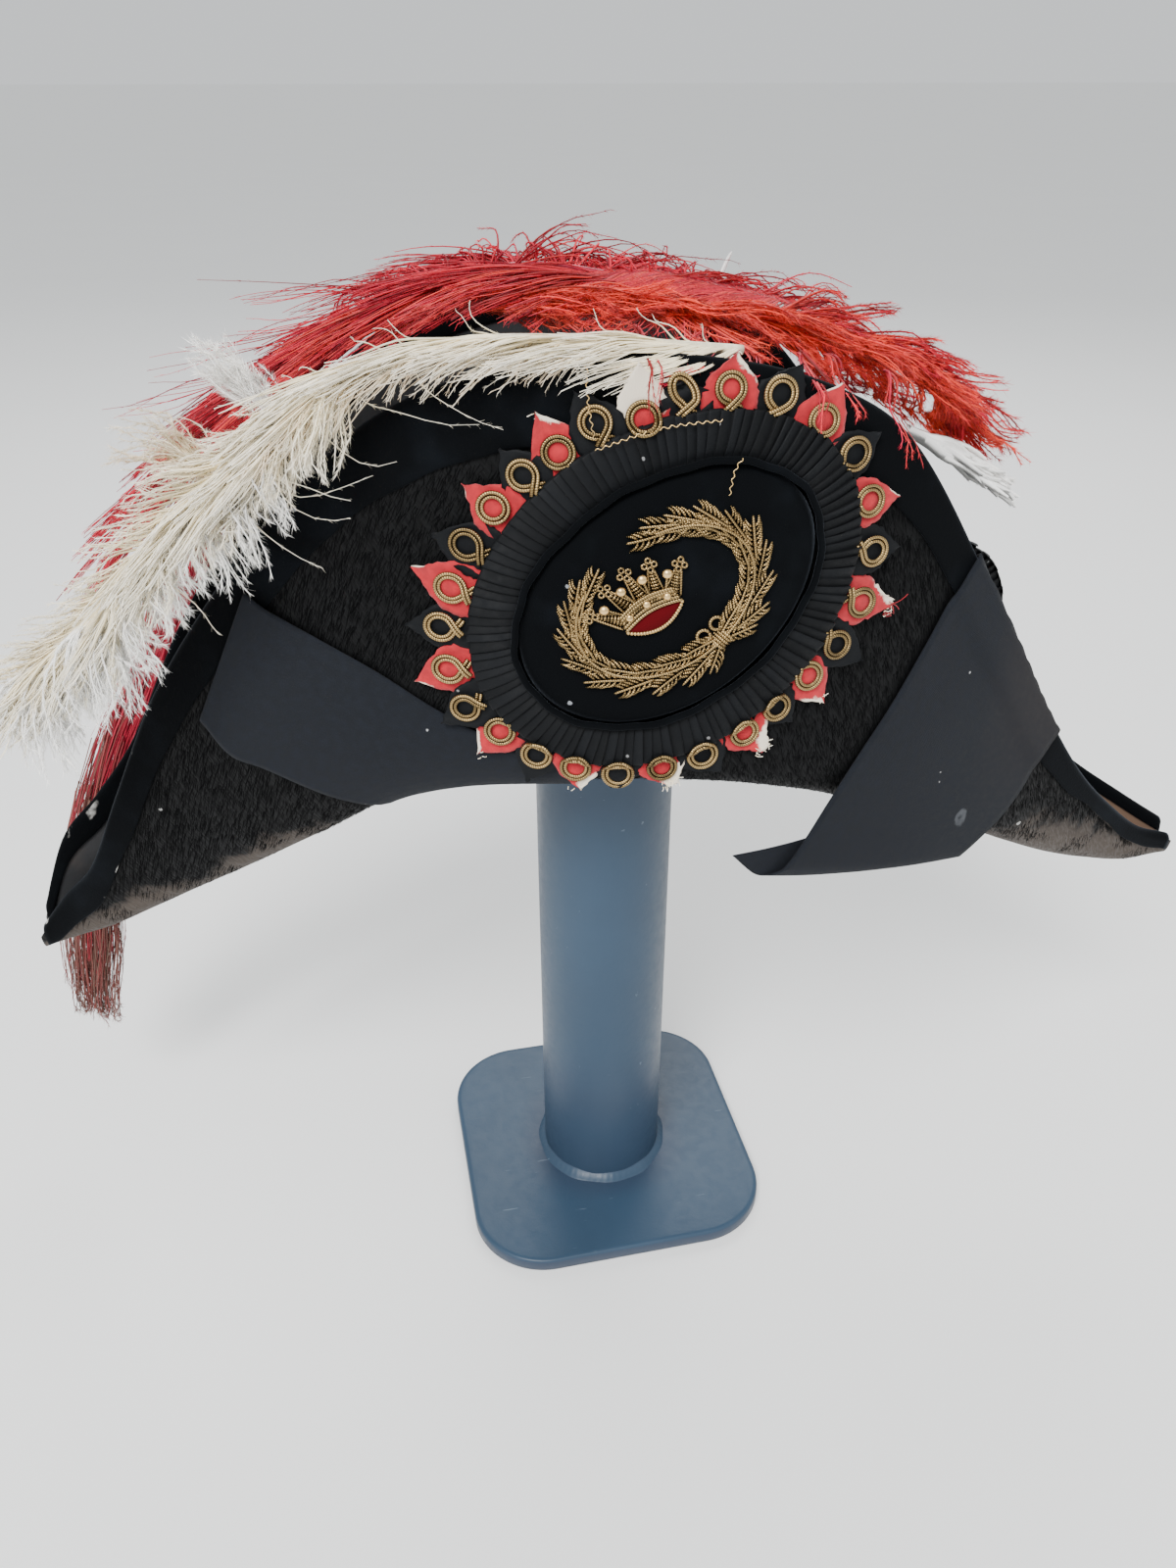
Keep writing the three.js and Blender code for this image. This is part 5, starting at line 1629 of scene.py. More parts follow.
def make_coronet():
    """A coronet of coiled thread: five pointed bars with crosses, and beads between them."""
    needle = Needle(71)
    work = Work()

    def bar(k):
        """The foot and the tip of a bar, counted from the middle one."""
        foot = np.array([k * 3.2 - 0.5, 5.0 - 0.36 * k * k])
        return foot, np.array([k * 5.6 - 1.0, 12.6 - 1.1 * k * k])

    def band(share, level):
        """A place on the curved band, from its left end to its right, up from its lower edge."""
        x = (share * 2 - 1) * (7.6 - 0.1 * level)
        return np.array([x - 0.4, 1.2 + level * 0.9 + 1.6 * math.sin(share * math.pi)])

    def bead(place, lift, radius, finish_index, flat=1.0):
        add_ball(work, (*place, PAD_LIFT + lift), radius, finish_index, flat)

    for k in range(-2, 3):
        foot, tip = bar(k)
        heading = unit(tip - foot)
        side = left_of(heading)
        for share in np.arange(9) / 9:
            half = side * (1.75 - 0.95 * share)
            middle = foot + (tip - foot) * share
            needle.stitch(middle - half, middle + half, 0.36, 0.9)
        for way in (-1, 1):
            needle.cord([foot + side * way * 2.0, tip + side * way * 0.7], 0.3, 0.9, 12)
        for petal_heading in (heading, side, -heading, -side):
            middle = tip + heading * 1.1 + petal_heading * 1.15
            needle.cord(middle + oval_at(np.linspace(0, FULL_TURN, 9), 0.62, 0.62), 0.3, 1.2, 14)
    for k in (-1.5, -0.5, 0.5, 1.5):
        foot, tip = bar(k)
        tip = tip * [1, 0.86]
        needle.cord([foot, tip], 0.32, 1.5, 8)
        bead(tip, 1.9, 1.25, 2, 0.8)
    for level in (0.0, 1.1, 3.2, 4.1):
        line = [band(share, level) for share in np.linspace(0, 1, 9)]
        needle.cord(line, 0.46, 1.1 + 0.12 * level, 40)
    for share in np.linspace(0.04, 0.96, 21):
        centre = band(share, 2.15)
        needle.stitch(centre - [0.25, 0.75], centre + [0.25, 0.75], 0.42, 1.0)
    for share in (0.16, 0.5, 0.84):
        bead(band(share, 2.15), 1.7, 0.95, 2, 0.7)
    # The velvet cap seen through the band, with a beaded rim.
    shares = np.linspace(0, 1, 25)
    upper = np.array([band(share, -0.2) for share in shares])
    lower = np.stack([upper[:, 0], 1.0 - 3.4 * np.sin(shares * np.pi) ** 0.8], -1)
    mix = np.linspace(0, 1, 7)[:, None]
    rise = 0.9 * np.sin(mix * np.pi) * np.sin(shares * np.pi)
    rows = lifted(upper * (1 - mix[..., None]) + lower * mix[..., None], PAD_LIFT + 0.5 + rise)
    work.add(on_coronet(rows), [grid_faces(*rows.shape[:2])], finish_index=3)
    for place in at_rows(lower, np.linspace(0.02, 0.98, 24) * 24):
        bead(place, 0.8, 0.5, 0)
    needle.sew(work, on_coronet)
    looks = ["bullion", "cord", "bead", "red velvet"]
    work.piece("gold_coronet", looks, "gold_bullion", "coronet")


# Each loose thread's two ends, as degrees round the oval and shares of its size, its lift off
# the cloth and how far it sags.
LOOSE_THREADS = [
    ((83, 1.0), (48, 0.95), 5.8, 1.6),
    ((82, 1.05), (78, 1.42), 4.4, 0.6),
    ((37, 0.77), (34, 0.58), 6.6, -0.8),
]


def make_loose_threads():
    """Crimped gold threads that have come away from the embroidery."""
    work = Work()
    for k, (*ends, lift, sag) in enumerate(LOOSE_THREADS):
        start, end = (oval_at(math.radians(turn), *OVAL) * reach for turn, reach in ends)
        length = np.linalg.norm(end - start)
        share = np.linspace(0, 1, int(length * 6))
        crimp = 0.3 * np.sin(share * length * FULL_TURN / 2.1) + sag * np.sin(share * np.pi)
        side = left_of(unit(end - start))
        flat = start + np.outer(share, end - start) + np.outer(crimp, side)
        path = lifted(flat, lift + 0.3 * np.sin(share * 9 + k))
        add_tubes(work, [path], 0.14, 5, [(0.9, 0, 0)], shape=on_rosette, normal=UP)
    work.piece("loose_threads", ["bead"], "gold_bullion")


def make_cockade():
    """The plain pleated cockade on the other flap."""
    work = Work()
    for count, outer, inner, lift, height, seed, crown in (
        (64, (43.5, 41.0), (9.0, 9.0), 0.9, 1.9, 13, 1.3),
        (40, (22.0, 22.0), (6.0, 6.0), 3.2, 1.3, 17, 0.8),
    ):
        lift += PETAL_LIFT
        add_pleats(work, on_cockade, count, outer, inner, lift, height, seed, crown)
    piece = work.piece("plain_cockade", ["black silk"], "black_cloth", "back_cockade")
    button = Work()
    add_ball(button, (0, 0, PETAL_LIFT + 4.6), 8.0, 0, 0.32, on_cockade)
    button.piece("cockade_button", ["black silk"], "black_cloth")


# ---------------- plumes


def form_frame(form):
    """The middle line of a plume's form with its vane and depth headings at even rows."""
    middle = smooth_rows(form[:, :3], 20)
    middle[:, 0] += HAT_X
    along = unit(np.gradient(middle, axis=0))
    across = unit(np.cross(along, UP))
    across = np.where(across[:, 1:2] > 0, -across, across)
    above = np.cross(along, across)
    above = np.where(above[:, 2:3] < 0, -above, above)
    at = np.linspace(0, len(form) - 1, len(middle))
    wide, thick, roll = (np.interp(at, np.arange(len(form)), form[:, k]) for k in (3, 4, 5))
    cos, sin = oval_at(np.radians(roll)).T[:, :, None]
    return middle, across * cos - above * sin, across * sin + above * cos, wide, thick


def at_rows(rows, place):
    """Values between the rows of a table, at places counted in rows."""
    i = np.clip(place.astype(int), 0, len(rows) - 2)
    f = place - i
    f = f if rows.ndim == 1 else f[..., None]
    return rows[i] * (1 - f) + rows[i + 1] * f


def on_form(frame_rows, t, turn, reach):
    """Points at a share t along the form, turned round its section and reaching out from it."""
    at = np.clip(t, 0, 1) * (len(frame_rows[0]) - 1)
    middle, vane, depth, wide, thick = (at_rows(rows, at) for rows in frame_rows)
    side = vane * (wide * np.cos(turn) * reach)[..., None]
    return middle + side + depth * (thick * np.sin(turn) * reach)[..., None]


NEAR_TIP = 223.0


def clear_of_hat(points, gap=2.2):
    """Moves points that would be inside the near flap out in front of it."""
    x = np.clip(points[..., 0] - HAT_X, -NEAR_TIP, NEAR_TIP)
    y, z = points[..., 1], points[..., 2]
    heights = heights_at(x)
    rim = np.clip((heights[..., 1] + 4 - z) / 4, 0, 1)
    inside = (z > heights[..., 0] - 6) & (y < -25)
    wall = -(flank_half(x, np.minimum(z, heights[..., 1]), NEAR) + gap)
    moved = points.copy()
    moved[..., 1] += np.where(inside, (np.minimum(y, wall) - y) * rim, 0)
    return moved


def clear_of_bed(points, bed=0.8):
    """Keeps barbs on or above the bed of feathers that fills the red plume's form."""
    rows = RED_FORM[::-1]
    x = points[..., 0] - HAT_X
    y, z, wide, thick = (np.interp(x, rows[:, 0], rows[:, k]) for k in (1, 2, 3, 4))
    across, above = (points[..., 1] - y) / wide, (points[..., 2] - z) / thick
    reach = np.hypot(across, above)
    grow_by = np.maximum(reach, bed) / np.maximum(reach, 0.05)
    grow_by = np.where((x > rows[-1, 0]) | (x < rows[0, 0]), 1.0, grow_by)
    moved = points.copy()
    moved[..., 1] = y + across * grow_by * wide
    moved[..., 2] = z + above * grow_by * thick
    return clear_of_hat(moved)


def steps_of(paths):
    return np.linspace(0, 1, paths.shape[1])[None, :, None]


def waved(paths, rng, wander):
    """Gives every barb its own gentle wave, which grows towards its tip."""
    share, one_each = steps_of(paths), (len(paths), 1, 3)
    phase = rng.uniform(0, FULL_TURN, one_each)
    speed = rng.uniform(3, 9, one_each)
    return paths + (np.sin(share * speed + phase) - np.sin(phase)) * wander * share


def gather_locks(paths, size, tightness, rng, sway):
    """Draws each run of neighbouring barbs together into one swaying lock, loose at its root."""
    owner = np.arange(len(paths)) // size
    guide = np.stack([paths[owner == k].mean(0) for k in range(owner[-1] + 1)])
    guide = waved(guide, rng, sway)
    return paths + (guide[owner] - paths) * steps_of(paths) ** 0.6 * tightness


def add_barbs(work, rng, paths, radius, mark, finish_index=0, pale=0.0):
    """Adds a thin tube for each barb. Returns the barbs' tones."""
    count, steps = paths.shape[:2]
    shade = rng.uniform(0, 1, count)
    tones = marks(np.clip(rng.uniform(*mark, count), 0, 1), shade)
    radii = radius * np.linspace(1, 0.3, steps) * rng.uniform(0.75, 1.25, (count, 1))
    add_tubes(work, paths, radii, 3, tones, finish_index, caps=False, pale=pale)
    return tones


def add_barbules(work, rng, paths, tones, per_barb, size, finish_index=0, pale=0.0):
    """Fine single fibres that stand off each barb and make the plume fluffy."""
    count, steps = paths.shape[:2]
    owner = np.repeat(np.arange(count), per_barb)
    one_each = (len(owner), 1)
    share = rng.uniform(0.1, 1, len(owner)) * (steps - 1.001)
    i = share.astype(int)
    f = (share - i)[:, None]
    root = paths[owner, i] * (1 - f) + paths[owner, i + 1] * f
    along = unit(paths[owner, i + 1] - paths[owner, i])
    loose = rng.normal(0, 1, (len(owner), 3))
    aside = unit(loose - (loose * along).sum(1, keepdims=True) * along)
    heading = unit(along * rng.uniform(0.7, 1.4, one_each) + aside * 0.8)
    size = size * rng.uniform(0.5, 1.2, one_each)
    tip = root + heading * size - UP * 0.08 * size
    across = unit(np.cross(heading, loose)) * rng.uniform(0.07, 0.12, one_each)
    shade = np.clip(tones[owner, :1] + rng.normal(0, 0.2, one_each), 0, 1)
    tone = marks(tones[owner, 2:], shade, np.maximum((share / (steps - 1))[:, None], pale))
    add_hairs(work, root, tip, across, tone, finish_index)


def shaft_rows(points, count=90):
    """A feather's shaft with its headings: along it, towards the near side, and up off it."""
    path = smooth_path(np.array(points, float) + [HAT_X, 0, 0], count)
    along = unit(np.gradient(path, axis=0))
    near = np.array([0.0, -1.0, 0.0])
    near = unit(near - (along @ near)[:, None] * along)
    return path, along, near, np.cross(along, near)


def grow(work, rng, shaft, barbs, clear=as_they_are, finish_index=0, pale=0.0):
    """Grows one layer of barbs from a stretch of a shaft."""
    (count, start, end, heading, spread, length, pull, bend) = barbs[:8]
    (lock, tight, wander, radius, fluffs, fluff_size, mark) = barbs[8:]
    count = max(2, int(count * settings("plume").fullness))
    share = np.linspace(0, 1, 10)[None, :, None]
    place = np.sort(rng.uniform(start, end, count)) * (len(shaft[0]) - 1)
    root, along, near, top = (at_rows(rows, place) for rows in shaft)
    together = rng.normal(0, 1, (count // lock + 1, 3)).repeat(lock, 0)[:count]
    aim = heading + (0.7 * together + 0.4 * rng.normal(0, 1, (count, 3))) * spread
    aim = unit(aim[:, 0:1] * along + aim[:, 1:2] * near + aim[:, 2:3] * top)
    long = rng.uniform(*length, (count, 1, 1))
    turn = bend * rng.uniform(0.5, 1.4, (count, 1, 1)) * share**2 / 2
    bowed = aim[:, None] * (share - turn) + unit(np.array(pull, float)) * turn
    paths = waved(root[:, None] + long * bowed, rng, wander)
    paths = clear(gather_locks(paths, lock, tight, rng, wander * 0.6))
    tones = add_barbs(work, rng, paths, radius, mark, finish_index, pale)
    add_barbules(work, rng, paths, tones, fluffs, fluff_size, finish_index, pale)


LEFT_SHAFT = [
    (44, 5, 355), (16, 4, 362), (-8, 4, 367), (-32, 4, 371), (-50, 3, 370.5), (-66, 2, 368),
    (-86, 0, 361), (-106, 1, 350), (-124, 3, 338), (-142, 5, 323),
]
RIGHT_SHAFT = [
    (-58, -18, 364), (-20, -16, 366), (20, -12, 361), (56, -8, 353), (80, -4, 343), (96, -2, 332)
]
CREAM_SHAFT = [
    (10, -67, 361), (-8, -68.5, 363), (-26, -69, 364.8), (-58, -69, 365.8), (-82, -68, 361.6),
    (-98, -67, 354.6), (-111, -66, 344), (-130, -64, 330), (-146, -60, 315),
    (-166, -56, 293.5), (-186, -52, 277),
]
WHITE_SHAFT = [(79, -16, 325), (91, -15, 319), (101, -14, 313)]
STRAY_SHAFT = [(22, 20, 357), (25, 20, 363), (31, 20, 369)]
WHITE_TUFT = [(-108, -44, 333), (-112, -42, 341), (-117, -40, 346)]
YELLOW_TUFT = [(-120, -46, 320), (-128, -44, 327), (-136, -42, 332)]

# Each row is one layer of barbs. Its columns are: count, start and end on the shaft, heading
# (along, near, up), spread of each, shortest and longest, pull (x, y, z), bend, barbs to a lock,
# tightness of the lock, wander, radius, barbules on each, their size, and range of the mark.
SILKY_RED = [
    (530, 0.02, 0.97, (1, 0.42, 0.02), (0.1, 0.16, 0.06), (40, 72), (-0.8, -0.35, -0.6), 0.5,
     10, 0.6, 0.9, 0.34, 12, 1.5, (0, 0.25)),
    (420, 0.0, 0.7, (1, 0.95, -0.05), (0.1, 0.2, 0.06), (48, 74), (-0.7, -0.5, -0.5), 0.45,
     8, 0.65, 1.4, 0.36, 26, 1.8, (0.05, 0.7)),
    (275, 0.3, 0.98, (1, 0.8, -0.1), (0.1, 0.2, 0.1), (50, 76), (-0.6, -0.5, -0.6), 0.5,
     10, 0.6, 1.2, 0.36, 16, 1.6, (0, 0.3)),
    (235, 0.3, 0.99, (1, -0.45, 0.05), (0.1, 0.25, 0.1), (30, 60), (-0.8, 0.3, -0.6), 0.6,
     8, 0.5, 1.2, 0.34, 16, 1.6, (0, 0.2)),
    (170, 0.7, 1.0, (1, 0.3, -0.2), (0.1, 0.5, 0.3), (30, 52), (-0.6, 0.0, -0.8), 0.7,
     8, 0.45, 1.8, 0.33, 24, 2.0, (0, 0.2)),
    (34, 0.5, 0.9, (1, -0.1, 0.25), (0.1, 0.3, 0.15), (40, 62), (-0.9, 0, -0.3), 0.5,
     3, 0.4, 2.0, 0.25, 14, 1.4, (0, 0.3)),
]
CURLED_RED = [
    (150, 0.0, 0.66, (0.5, -0.6, 0.62), (0.6, 0.4, 0.2), (18, 36), (-0.3, 0.6, -0.75), 1.15,
     4, 0.55, 2.4, 0.4, 60, 1.5, (0, 0.25)),
    (60, 0.0, 0.5, (0.2, -0.3, 0.8), (0.6, 0.4, 0.2), (14, 26), (-0.7, 0.6, -0.5), 1.1,
     3, 0.5, 2.6, 0.4, 50, 1.3, (0, 0.2)),
    (190, 0.0, 0.45, (-0.8, -0.4, 0.35), (0.3, 0.4, 0.15), (34, 62), (0.5, 0.5, -0.7), 0.8,
     5, 0.5, 2.2, 0.34, 46, 1.9, (0, 0.4)),
]
SHAGGY_RED = [
    (310, 0.0, 0.85, (1, 0.8, 0.0), (0.2, 0.4, 0.14), (26, 48), (0.6, -0.7, -0.35), 0.45,
     7, 0.75, 2.6, 0.5, 145, 2.7, (0.5, 1.0)),
    (170, 0.5, 1.0, (1, 0.1, 0.55), (0.28, 0.6, 0.36), (22, 38), (0.9, 0.0, -0.25), 0.5,
     6, 0.75, 2.8, 0.5, 175, 2.9, (0.5, 1.0)),
    (250, 0.55, 1.0, (1, 0.35, 0.0), (0.28, 0.6, 0.5), (24, 40), (0.8, 0.0, -0.4), 0.5,
     7, 0.75, 2.8, 0.48, 125, 2.7, (0.0, 0.6)),
    (10, 0.85, 1.0, (1, 0.0, 0.3), (0.1, 0.4, 0.3), (34, 44), (0.9, 0, -0.2), 0.5,
     2, 0.5, 2.4, 0.45, 190, 2.2, (0.7, 1.0)),
]
CREAM = [
    (430, 0.0, 0.55, (1, 0.1, -0.1), (0.06, 0.12, 0.1), (22, 48), (-0.8, -0.3, -0.6), 0.35,
     6, 0.7, 1.6, 0.42, 10, 1.3, (0, 0.1)),
    (150, 0.1, 0.55, (1, 0.2, -0.35), (0.1, 0.2, 0.12), (16, 30), (-0.6, -0.3, -0.7), 0.7,
     4, 0.6, 2.2, 0.32, 14, 1.6, (0.1, 0.7)),
    (540, 0.42, 0.97, (1, 0.18, -0.2), (0.07, 0.14, 0.13), (22, 46), (-0.8, -0.1, -0.6), 0.4,
     6, 0.75, 1.8, 0.46, 14, 1.6, (0, 0.06)),
    (380, 0.42, 1.0, (0.95, 0.3, -0.5), (0.16, 0.25, 0.2), (14, 30), (-0.2, -0.1, -1), 1.0,
     4, 0.65, 2.8, 0.38, 76, 2.5, (0, 0.04)),
    (180, 0.48, 1.0, (1, 0.0, 0.3), (0.1, 0.2, 0.18), (14, 28), (-0.9, 0.1, -0.1), 0.5,
     4, 0.55, 2.0, 0.36, 50, 2.0, (0, 0.1)),
    (9, 0.35, 0.8, (0.5, 0.3, -0.85), (0.2, 0.2, 0.3), (22, 36), (0.9, -0.1, -0.4), 1.7,
     1, 0.0, 2.4, 0.26, 30, 1.6, (0, 0.1)),
    (12, 0.0, 0.5, (1, 0.0, 0.25), (0.1, 0.2, 0.1), (8, 15), (-0.5, 0, 0.9), 0.7,
     1, 0.0, 1.2, 0.3, 12, 1.2, (0, 0.1)),
]
WHITE_FLUFF = [
    (230, 0.84, 1.0, (1, 0.15, -0.45), (0.3, 0.4, 0.4), (20, 38), (0.1, 0, -0.9), 0.9,
     4, 0.6, 3.0, 0.42, 104, 2.7, (0, 0)),
    (150, 0.55, 0.95, (0.6, 0.4, -0.8), (0.3, 0.3, 0.2), (16, 28), (0.3, 0, -0.9), 0.9,
     4, 0.6, 3.0, 0.38, 96, 2.5, (0, 0.1)),
]
TUFT, YELLOWED, WHITE_END, WHITE_STRAY = [
    (70, 0.0, 1.0, (1, 0.0, 0.2), (0.1, 0.35, 0.4), (14, 24), (-0.8, 0, 0.4), 0.5,
     3, 0.3, 2.0, 0.33, 120, 2.8, (0, 0.1)),
    (60, 0.0, 1.0, (1, 0.0, 0.25), (0.1, 0.4, 0.5), (14, 26), (-0.9, 0, -0.1), 0.6,
     3, 0.3, 2.2, 0.33, 90, 2.6, (0.1, 0.5)),
    (60, 0.0, 1.0, (1, 0.1, -0.02), (0.06, 0.16, 0.15), (18, 29), (0.8, -0.2, -0.6), 0.3,
     3, 0.45, 1.4, 2.1, 70, 2.2, (0, 0)),
    (12, 0, 0.3, (1, 0, 0), (0.05, 0.1, 0.1), (11, 15), (0, 0, 1), 0.2,
     12, 0.8, 0.5, 0.7, 30, 0.8, (0, 0)),
]
# Red strands that have fallen over the near edge: where each starts, its lean and its length.
STRAYS = [
    ((-15, -50, 364), -0.1, 20), ((28, -56, 357), 0.1, 20), ((36, -54, 356), 0.35, 18),
    ((56, -48, 350), 0.1, 30),
]


def make_quill(name, finish_kind, slot, path, thick, thin):
    work = Work()
    add_tubes(work, [path], np.linspace(thick, thin, len(path)), 9)
    work.piece(name, [finish_kind], slot)


def make_red_plume():
    """The two red plumes over the crown: silky to the left, shaggy and faded to the right."""
    rng = np.random.default_rng(101)
    left = shaft_rows(LEFT_SHAFT)
    work = Work()
    for barbs in SILKY_RED + CURLED_RED:
        grow(work, rng, left, barbs, clear_of_bed)
    work.piece("red_plume_left", ["red barbs"], "red_feather", "plume_red")
    work = Work()
    right = shaft_rows(RIGHT_SHAFT)
    for barbs in SHAGGY_RED:
        grow(work, rng, right, barbs, clear_of_bed)
    share = np.linspace(0, 1, 13)[None, :, None]
    for place, lean, length in STRAYS:
        aim = np.array([lean, -0.8, 0.1]) + rng.normal(0, 0.12, (4, 1, 3))
        bowed = aim * (share - 0.55 * share**2) - UP * 0.62 * share**2
        start = np.array(place) + [HAT_X, 0, 0]
        paths = clear_of_hat(waved(start + length * bowed, rng, 1.2), 8.5)
        tones = add_barbs(work, rng, paths, 0.36, (0, 0.5))
        add_barbules(work, rng, paths, tones, 90, 1.7)
    work.piece("red_plume_right", ["red barbs"], "red_feather", "plume_red")
    bare = (left[0] + left[3] * 0.9)[8:60]
    make_quill("red_plume_quill", "red quill", "red_feather", bare, 1.2, 0.7)


FALL_BARBS, FALL_DROOP = 830, 16


def make_red_fall():
    """The long end of the red plume, which hangs down behind the left tip."""
    rng = np.random.default_rng(131)
    share = np.linspace(0, 1, 12)
    count = max(2, int(FALL_BARBS * settings("plume").fullness))
    root = np.sort(rng.uniform(-0.2, 0.84, count)).clip(0, 1)[:, None]
    go = rng.uniform(0.25, 0.5, (count, 1))
    turn = rng.uniform(0, FULL_TURN, (count, 1)) + rng.normal(0, 0.3, (count, 1)) * share
    reach = rng.uniform(0.15, 1.0, (count, 1)) * (0.75 + 0.4 * share)
    t = root + go * share
    paths = waved(on_form(form_frame(FALL_FORM), np.minimum(t, 1.0), turn, reach), rng, 2.6)
    paths[..., 2] -= np.maximum(t - 1, 0) * FALL_DROOP
    paths = gather_locks(paths, 7, 0.6, rng, 1.0)
    low_end = np.clip((root + go - 0.74) / 0.26, 0, 1)[:, 0]
    work = Work()
    for low, high, mark in ((0.0, 0.3, (0, 0.1)), (0.3, 0.75, (0.1, 0.7)), (0.75, 1.1, (0.6, 1.0))):
        chosen = paths[(low_end >= low) & (low_end < high)]
        tones = add_barbs(work, rng, chosen, 0.32, mark)
        add_barbules(work, rng, chosen, tones, 34, 2.8)
    work.piece("red_plume_fall", ["fall barbs"], "red_feather", "plume_red_fall")


def make_cream_plume():
    """The cream plume that runs over the near flap's edge and hangs in front of it."""
    rng = np.random.default_rng(151)
    shaft = shaft_rows(CREAM_SHAFT)
    work = Work()
    for barbs in CREAM:
        grow(work, rng, shaft, barbs, clear_of_hat)
    work.piece("cream_plume_vane", ["cream barbs"], "cream_feather", "plume_cream")
    work = Work()
    for barbs in WHITE_FLUFF:
        grow(work, rng, shaft, barbs, clear_of_hat, 1)
    grow(work, rng, shaft_rows(WHITE_TUFT), TUFT, finish_index=1)
    grow(work, rng, shaft_rows(YELLOW_TUFT), YELLOWED)
    looks = ["cream barbs", "white barbs"]
    work.piece("cream_plume_fluff", looks, "cream_feather", "plume_cream")
    quill = shaft[0] - shaft[3] * 0.6
    make_quill("cream_plume_quill", "cream quill", "cream_feather", quill, 1.3, 0.4)


def make_white_tip():
    """The end of a white plume that stands out behind the right of the red one."""
    rng = np.random.default_rng(171)
    work = Work()
    grow(work, rng, shaft_rows(WHITE_SHAFT), WHITE_END)
    grow(work, rng, shaft_rows(STRAY_SHAFT), WHITE_STRAY)
    work.piece("white_plume_tip", ["white barbs"], "cream_feather", "plume_white_tip")


# ---------------- stage

FLOOR_HALF = 40000.0
# name, place, the height it points at over the middle, size, power
LAMPS = [
    ("Key light", (-0.55, -1.1, 1.5), 0.25, 0.8, 44),
    ("Fill light", (1.1, -0.5, 1.2), 0.25, 1.2, 4),
    ("Back light", (0.3, 1.2, 1.4), 0.3, 1.2, 15),
]


def make_stage():
    stage = settings("stage")
    work = Work()
    corners = [(-1, -1, 0), (1, -1, 0), (1, 1, 0), (-1, 1, 0)]
    work.add(np.array(corners) * FLOOR_HALF, [np.array([[0, 1, 2, 3]])])
    link("floor", work.mesh("floor", ["floor"]))

    world = bpy.data.worlds.new("Studio")
    bpy.context.scene.world = world
    world.use_nodes = True
    sky = world.node_tree.nodes["Background"]
    sky.inputs["Color"].default_value = (0.95, 0.98, 1.0, 1)
    sky.inputs["Strength"].default_value = 0.88 * stage.light

    for name, place, height, size, power in LAMPS:
        lamp = bpy.data.lights.new(name, "AREA")
        lamp.shape = "DISK"
        lamp.size = size
        lamp.energy = power * stage.light
        holder = link(name, lamp)
        holder.location = place
        x, y, z = (0.0, 0.0, height) - np.array(place)
        tilt = math.atan2(math.hypot(x, y), -z)
        holder.rotation_euler = (tilt, 0, math.atan2(y, x) - math.pi / 2)

    lens = bpy.data.cameras.new("Camera")
    lens.lens, lens.sensor_width, lens.clip_start = 27.0, 36.0, 0.01
    camera = link("Camera", lens)
    camera.location = (-0.0602, -0.3712, 0.4219)
    camera.rotation_euler = (math.radians(90 - 31.37), 0, math.radians(-8.3))
    bpy.context.scene.camera = camera


# ---------------- operators and panel


class BuildOperator:
    """What the operators share."""

    bl_options = {"REGISTER", "UNDO"}


class BICORNE_OT_stage(BuildOperator, bpy.types.Operator):
    """Lay the floor, and set up the lights and the camera"""

    bl_idname = "bicorne.add_stage"
    bl_label = "Stage"

    def execute(self, context):
        make_stage()
        return {"FINISHED"}


class BICORNE_OT_stand(BuildOperator, bpy.types.Operator):
    """Build the painted plate, the tube and the weld round its foot"""

    bl_idname = "bicorne.add_stand"
    bl_label = "Display stand"

    def execute(self, context):
        make_stand()
        return {"FINISHED"}


class BICORNE_OT_brim(BuildOperator, bpy.types.Operator):
    """Build the two flaps of plush and their nap"""

    bl_idname = "bicorne.add_brim"
    bl_label = "Brim"

    def execute(self, context):
        make_brim()
        make_brim_nap()
        return {"FINISHED"}


class BICORNE_OT_crown(BuildOperator, bpy.types.Operator):
    """Build the hollow crown"""

    bl_idname = "bicorne.add_crown"
    bl_label = "Crown"

    def execute(self, context):
        make_crown()
        return {"FINISHED"}


class BICORNE_OT_bindings(BuildOperator, bpy.types.Operator):
    """Fold velvet over both flaps' edges"""

    bl_idname = "bicorne.add_bindings"
    bl_label = "Velvet bindings"

    def execute(self, context):
        make_binding(NEAR)
        make_binding(FAR)
        return {"FINISHED"}


class BICORNE_OT_ribbons(BuildOperator, bpy.types.Operator):
    """Lay the two wide ribbons over the near flap"""

    bl_idname = "bicorne.add_ribbons"
    bl_label = "Ribbons"

    def execute(self, context):
        make_ribbon("left", LEFT_RIBBON, False, 7)
        make_ribbon("right", RIGHT_RIBBON, True, 8)
        return {"FINISHED"}


class BICORNE_OT_rosette(BuildOperator, bpy.types.Operator):
    """Build the pleated ring, its piping and the velvet oval"""

    bl_idname = "bicorne.add_rosette"
    bl_label = "Rosette"

    def execute(self, context):
        make_pleated_ring()
        make_piping()
        make_pad()
        return {"FINISHED"}


class BICORNE_OT_petals(BuildOperator, bpy.types.Operator):
    """Build the red and black leaves with their fringes and cord loops"""

    bl_idname = "bicorne.add_petals"
    bl_label = "Leaves"

    def execute(self, context):
        make_petals()
        make_petal_trim()
        make_petal_cords()
        return {"FINISHED"}


class BICORNE_OT_embroidery(BuildOperator, bpy.types.Operator):
    """Embroider the wreath and the coronet, with their loose threads"""

    bl_idname = "bicorne.add_embroidery"
    bl_label = "Embroidery"

    def execute(self, context):
        make_wreath()
        make_coronet()
        make_loose_threads()
        return {"FINISHED"}


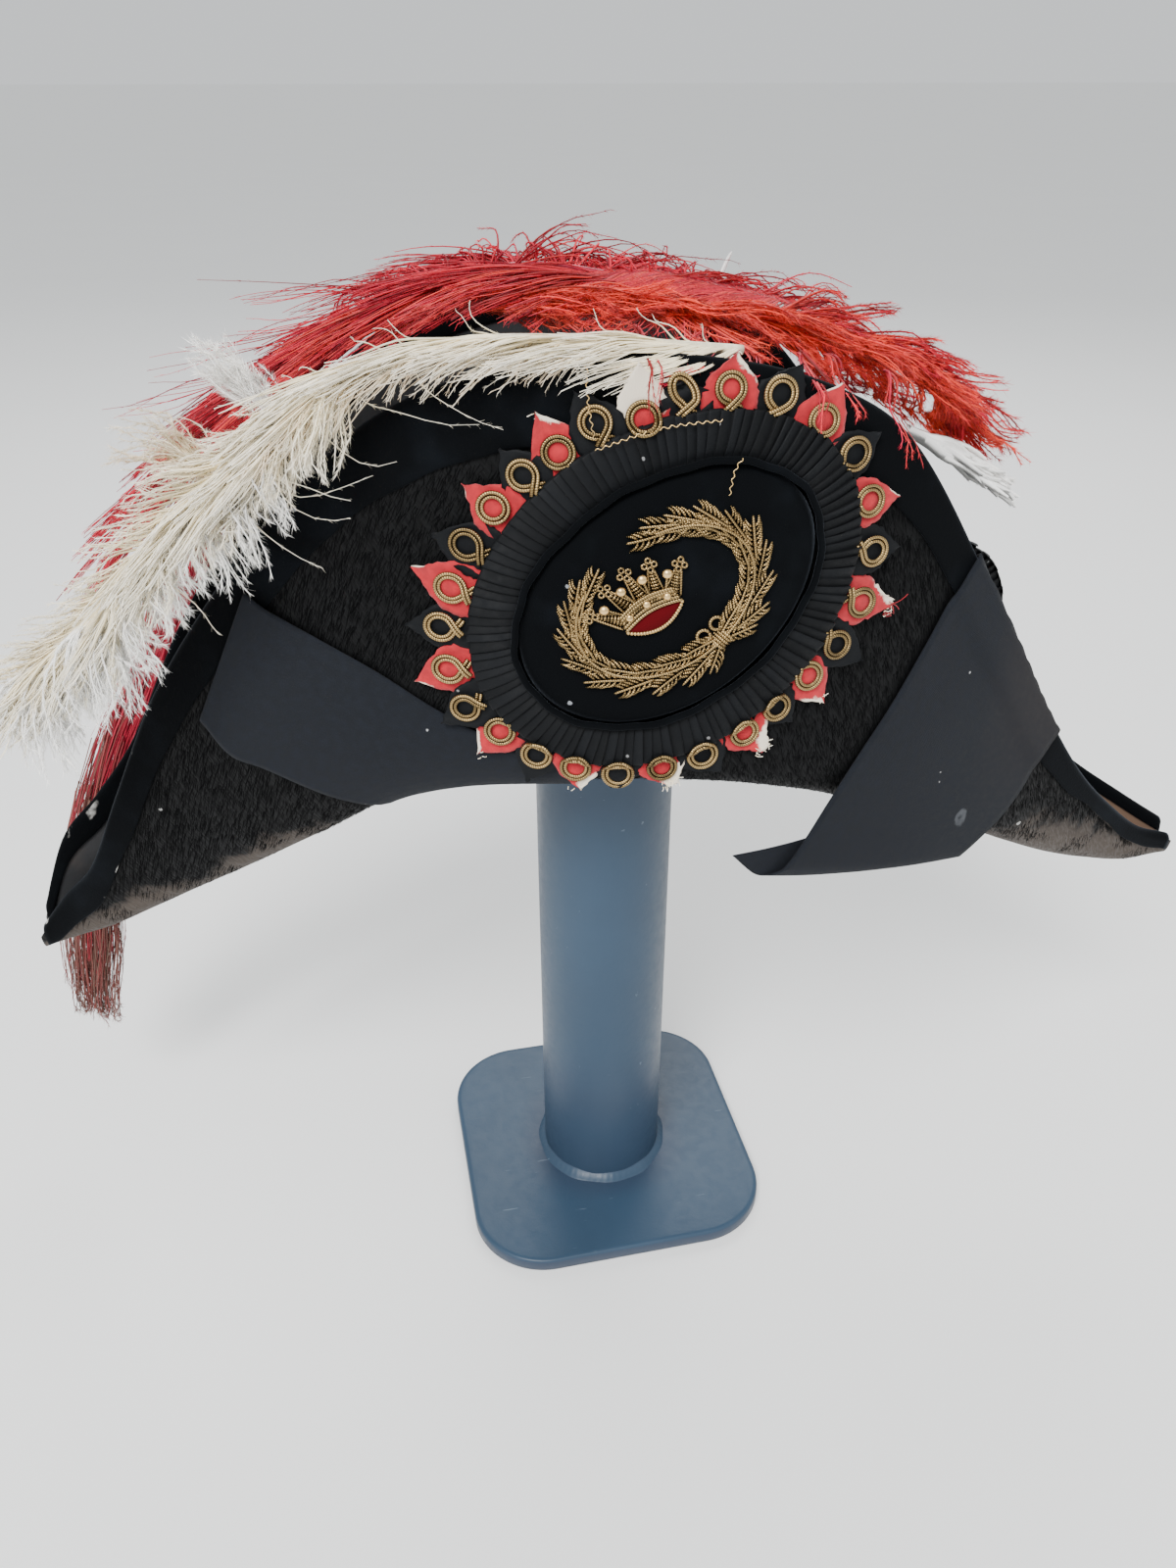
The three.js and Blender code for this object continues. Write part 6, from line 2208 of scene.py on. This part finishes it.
class BICORNE_OT_cockade(BuildOperator, bpy.types.Operator):
    """Build the plain cockade on the far flap"""

    bl_idname = "bicorne.add_cockade"
    bl_label = "Cockade"

    def execute(self, context):
        make_cockade()
        return {"FINISHED"}


class BICORNE_OT_red_plumes(BuildOperator, bpy.types.Operator):
    """Grow the red plumes and the fall behind the left tip"""

    bl_idname = "bicorne.add_red_plumes"
    bl_label = "Red plumes"

    def execute(self, context):
        make_red_plume()
        make_red_fall()
        return {"FINISHED"}


class BICORNE_OT_pale_plumes(BuildOperator, bpy.types.Operator):
    """Grow the cream plume and the white plume's end"""

    bl_idname = "bicorne.add_pale_plumes"
    bl_label = "Cream and white plumes"

    def execute(self, context):
        make_cream_plume()
        make_white_tip()
        return {"FINISHED"}


OPERATORS = (
    BICORNE_OT_stage,
    BICORNE_OT_stand,
    BICORNE_OT_brim,
    BICORNE_OT_crown,
    BICORNE_OT_bindings,
    BICORNE_OT_ribbons,
    BICORNE_OT_rosette,
    BICORNE_OT_petals,
    BICORNE_OT_embroidery,
    BICORNE_OT_cockade,
    BICORNE_OT_red_plumes,
    BICORNE_OT_pale_plumes,
)


class BICORNE_PT_panel(bpy.types.Panel):
    """Lists the hat's settings and the buttons that build its pieces"""

    bl_idname = "BICORNE_PT_panel"
    bl_label = "Bicorne hat"
    bl_space_type = "VIEW_3D"
    bl_region_type = "UI"
    bl_category = "Bicorne"

    def draw(self, context):
        layout = self.layout
        for name, group_class in SETTINGS.items():
            box = layout.box()
            box.label(text=group_class.__doc__)
            holder = getattr(context.scene, name)
            for field in group_class.__annotations__:
                box.prop(holder, field)
        column = layout.column(align=True)
        for operator in OPERATORS:
            column.operator(operator.bl_idname)


def register():
    for group_class in SETTINGS.values():
        bpy.utils.register_class(group_class)
    for name, group_class in SETTINGS.items():
        setattr(bpy.types.Scene, name, PointerProperty(type=group_class))
    for operator in OPERATORS:
        bpy.utils.register_class(operator)
    bpy.utils.register_class(BICORNE_PT_panel)


def unregister():
    bpy.utils.unregister_class(BICORNE_PT_panel)
    for operator in reversed(OPERATORS):
        bpy.utils.unregister_class(operator)
    for name in SETTINGS:
        delattr(bpy.types.Scene, name)
    for group_class in SETTINGS.values():
        bpy.utils.unregister_class(group_class)


def main():
    register()
    for operator in OPERATORS:
        family, action = operator.bl_idname.split(".")
        getattr(getattr(bpy.ops, family), action)()


if __name__ == "__main__":
    main()
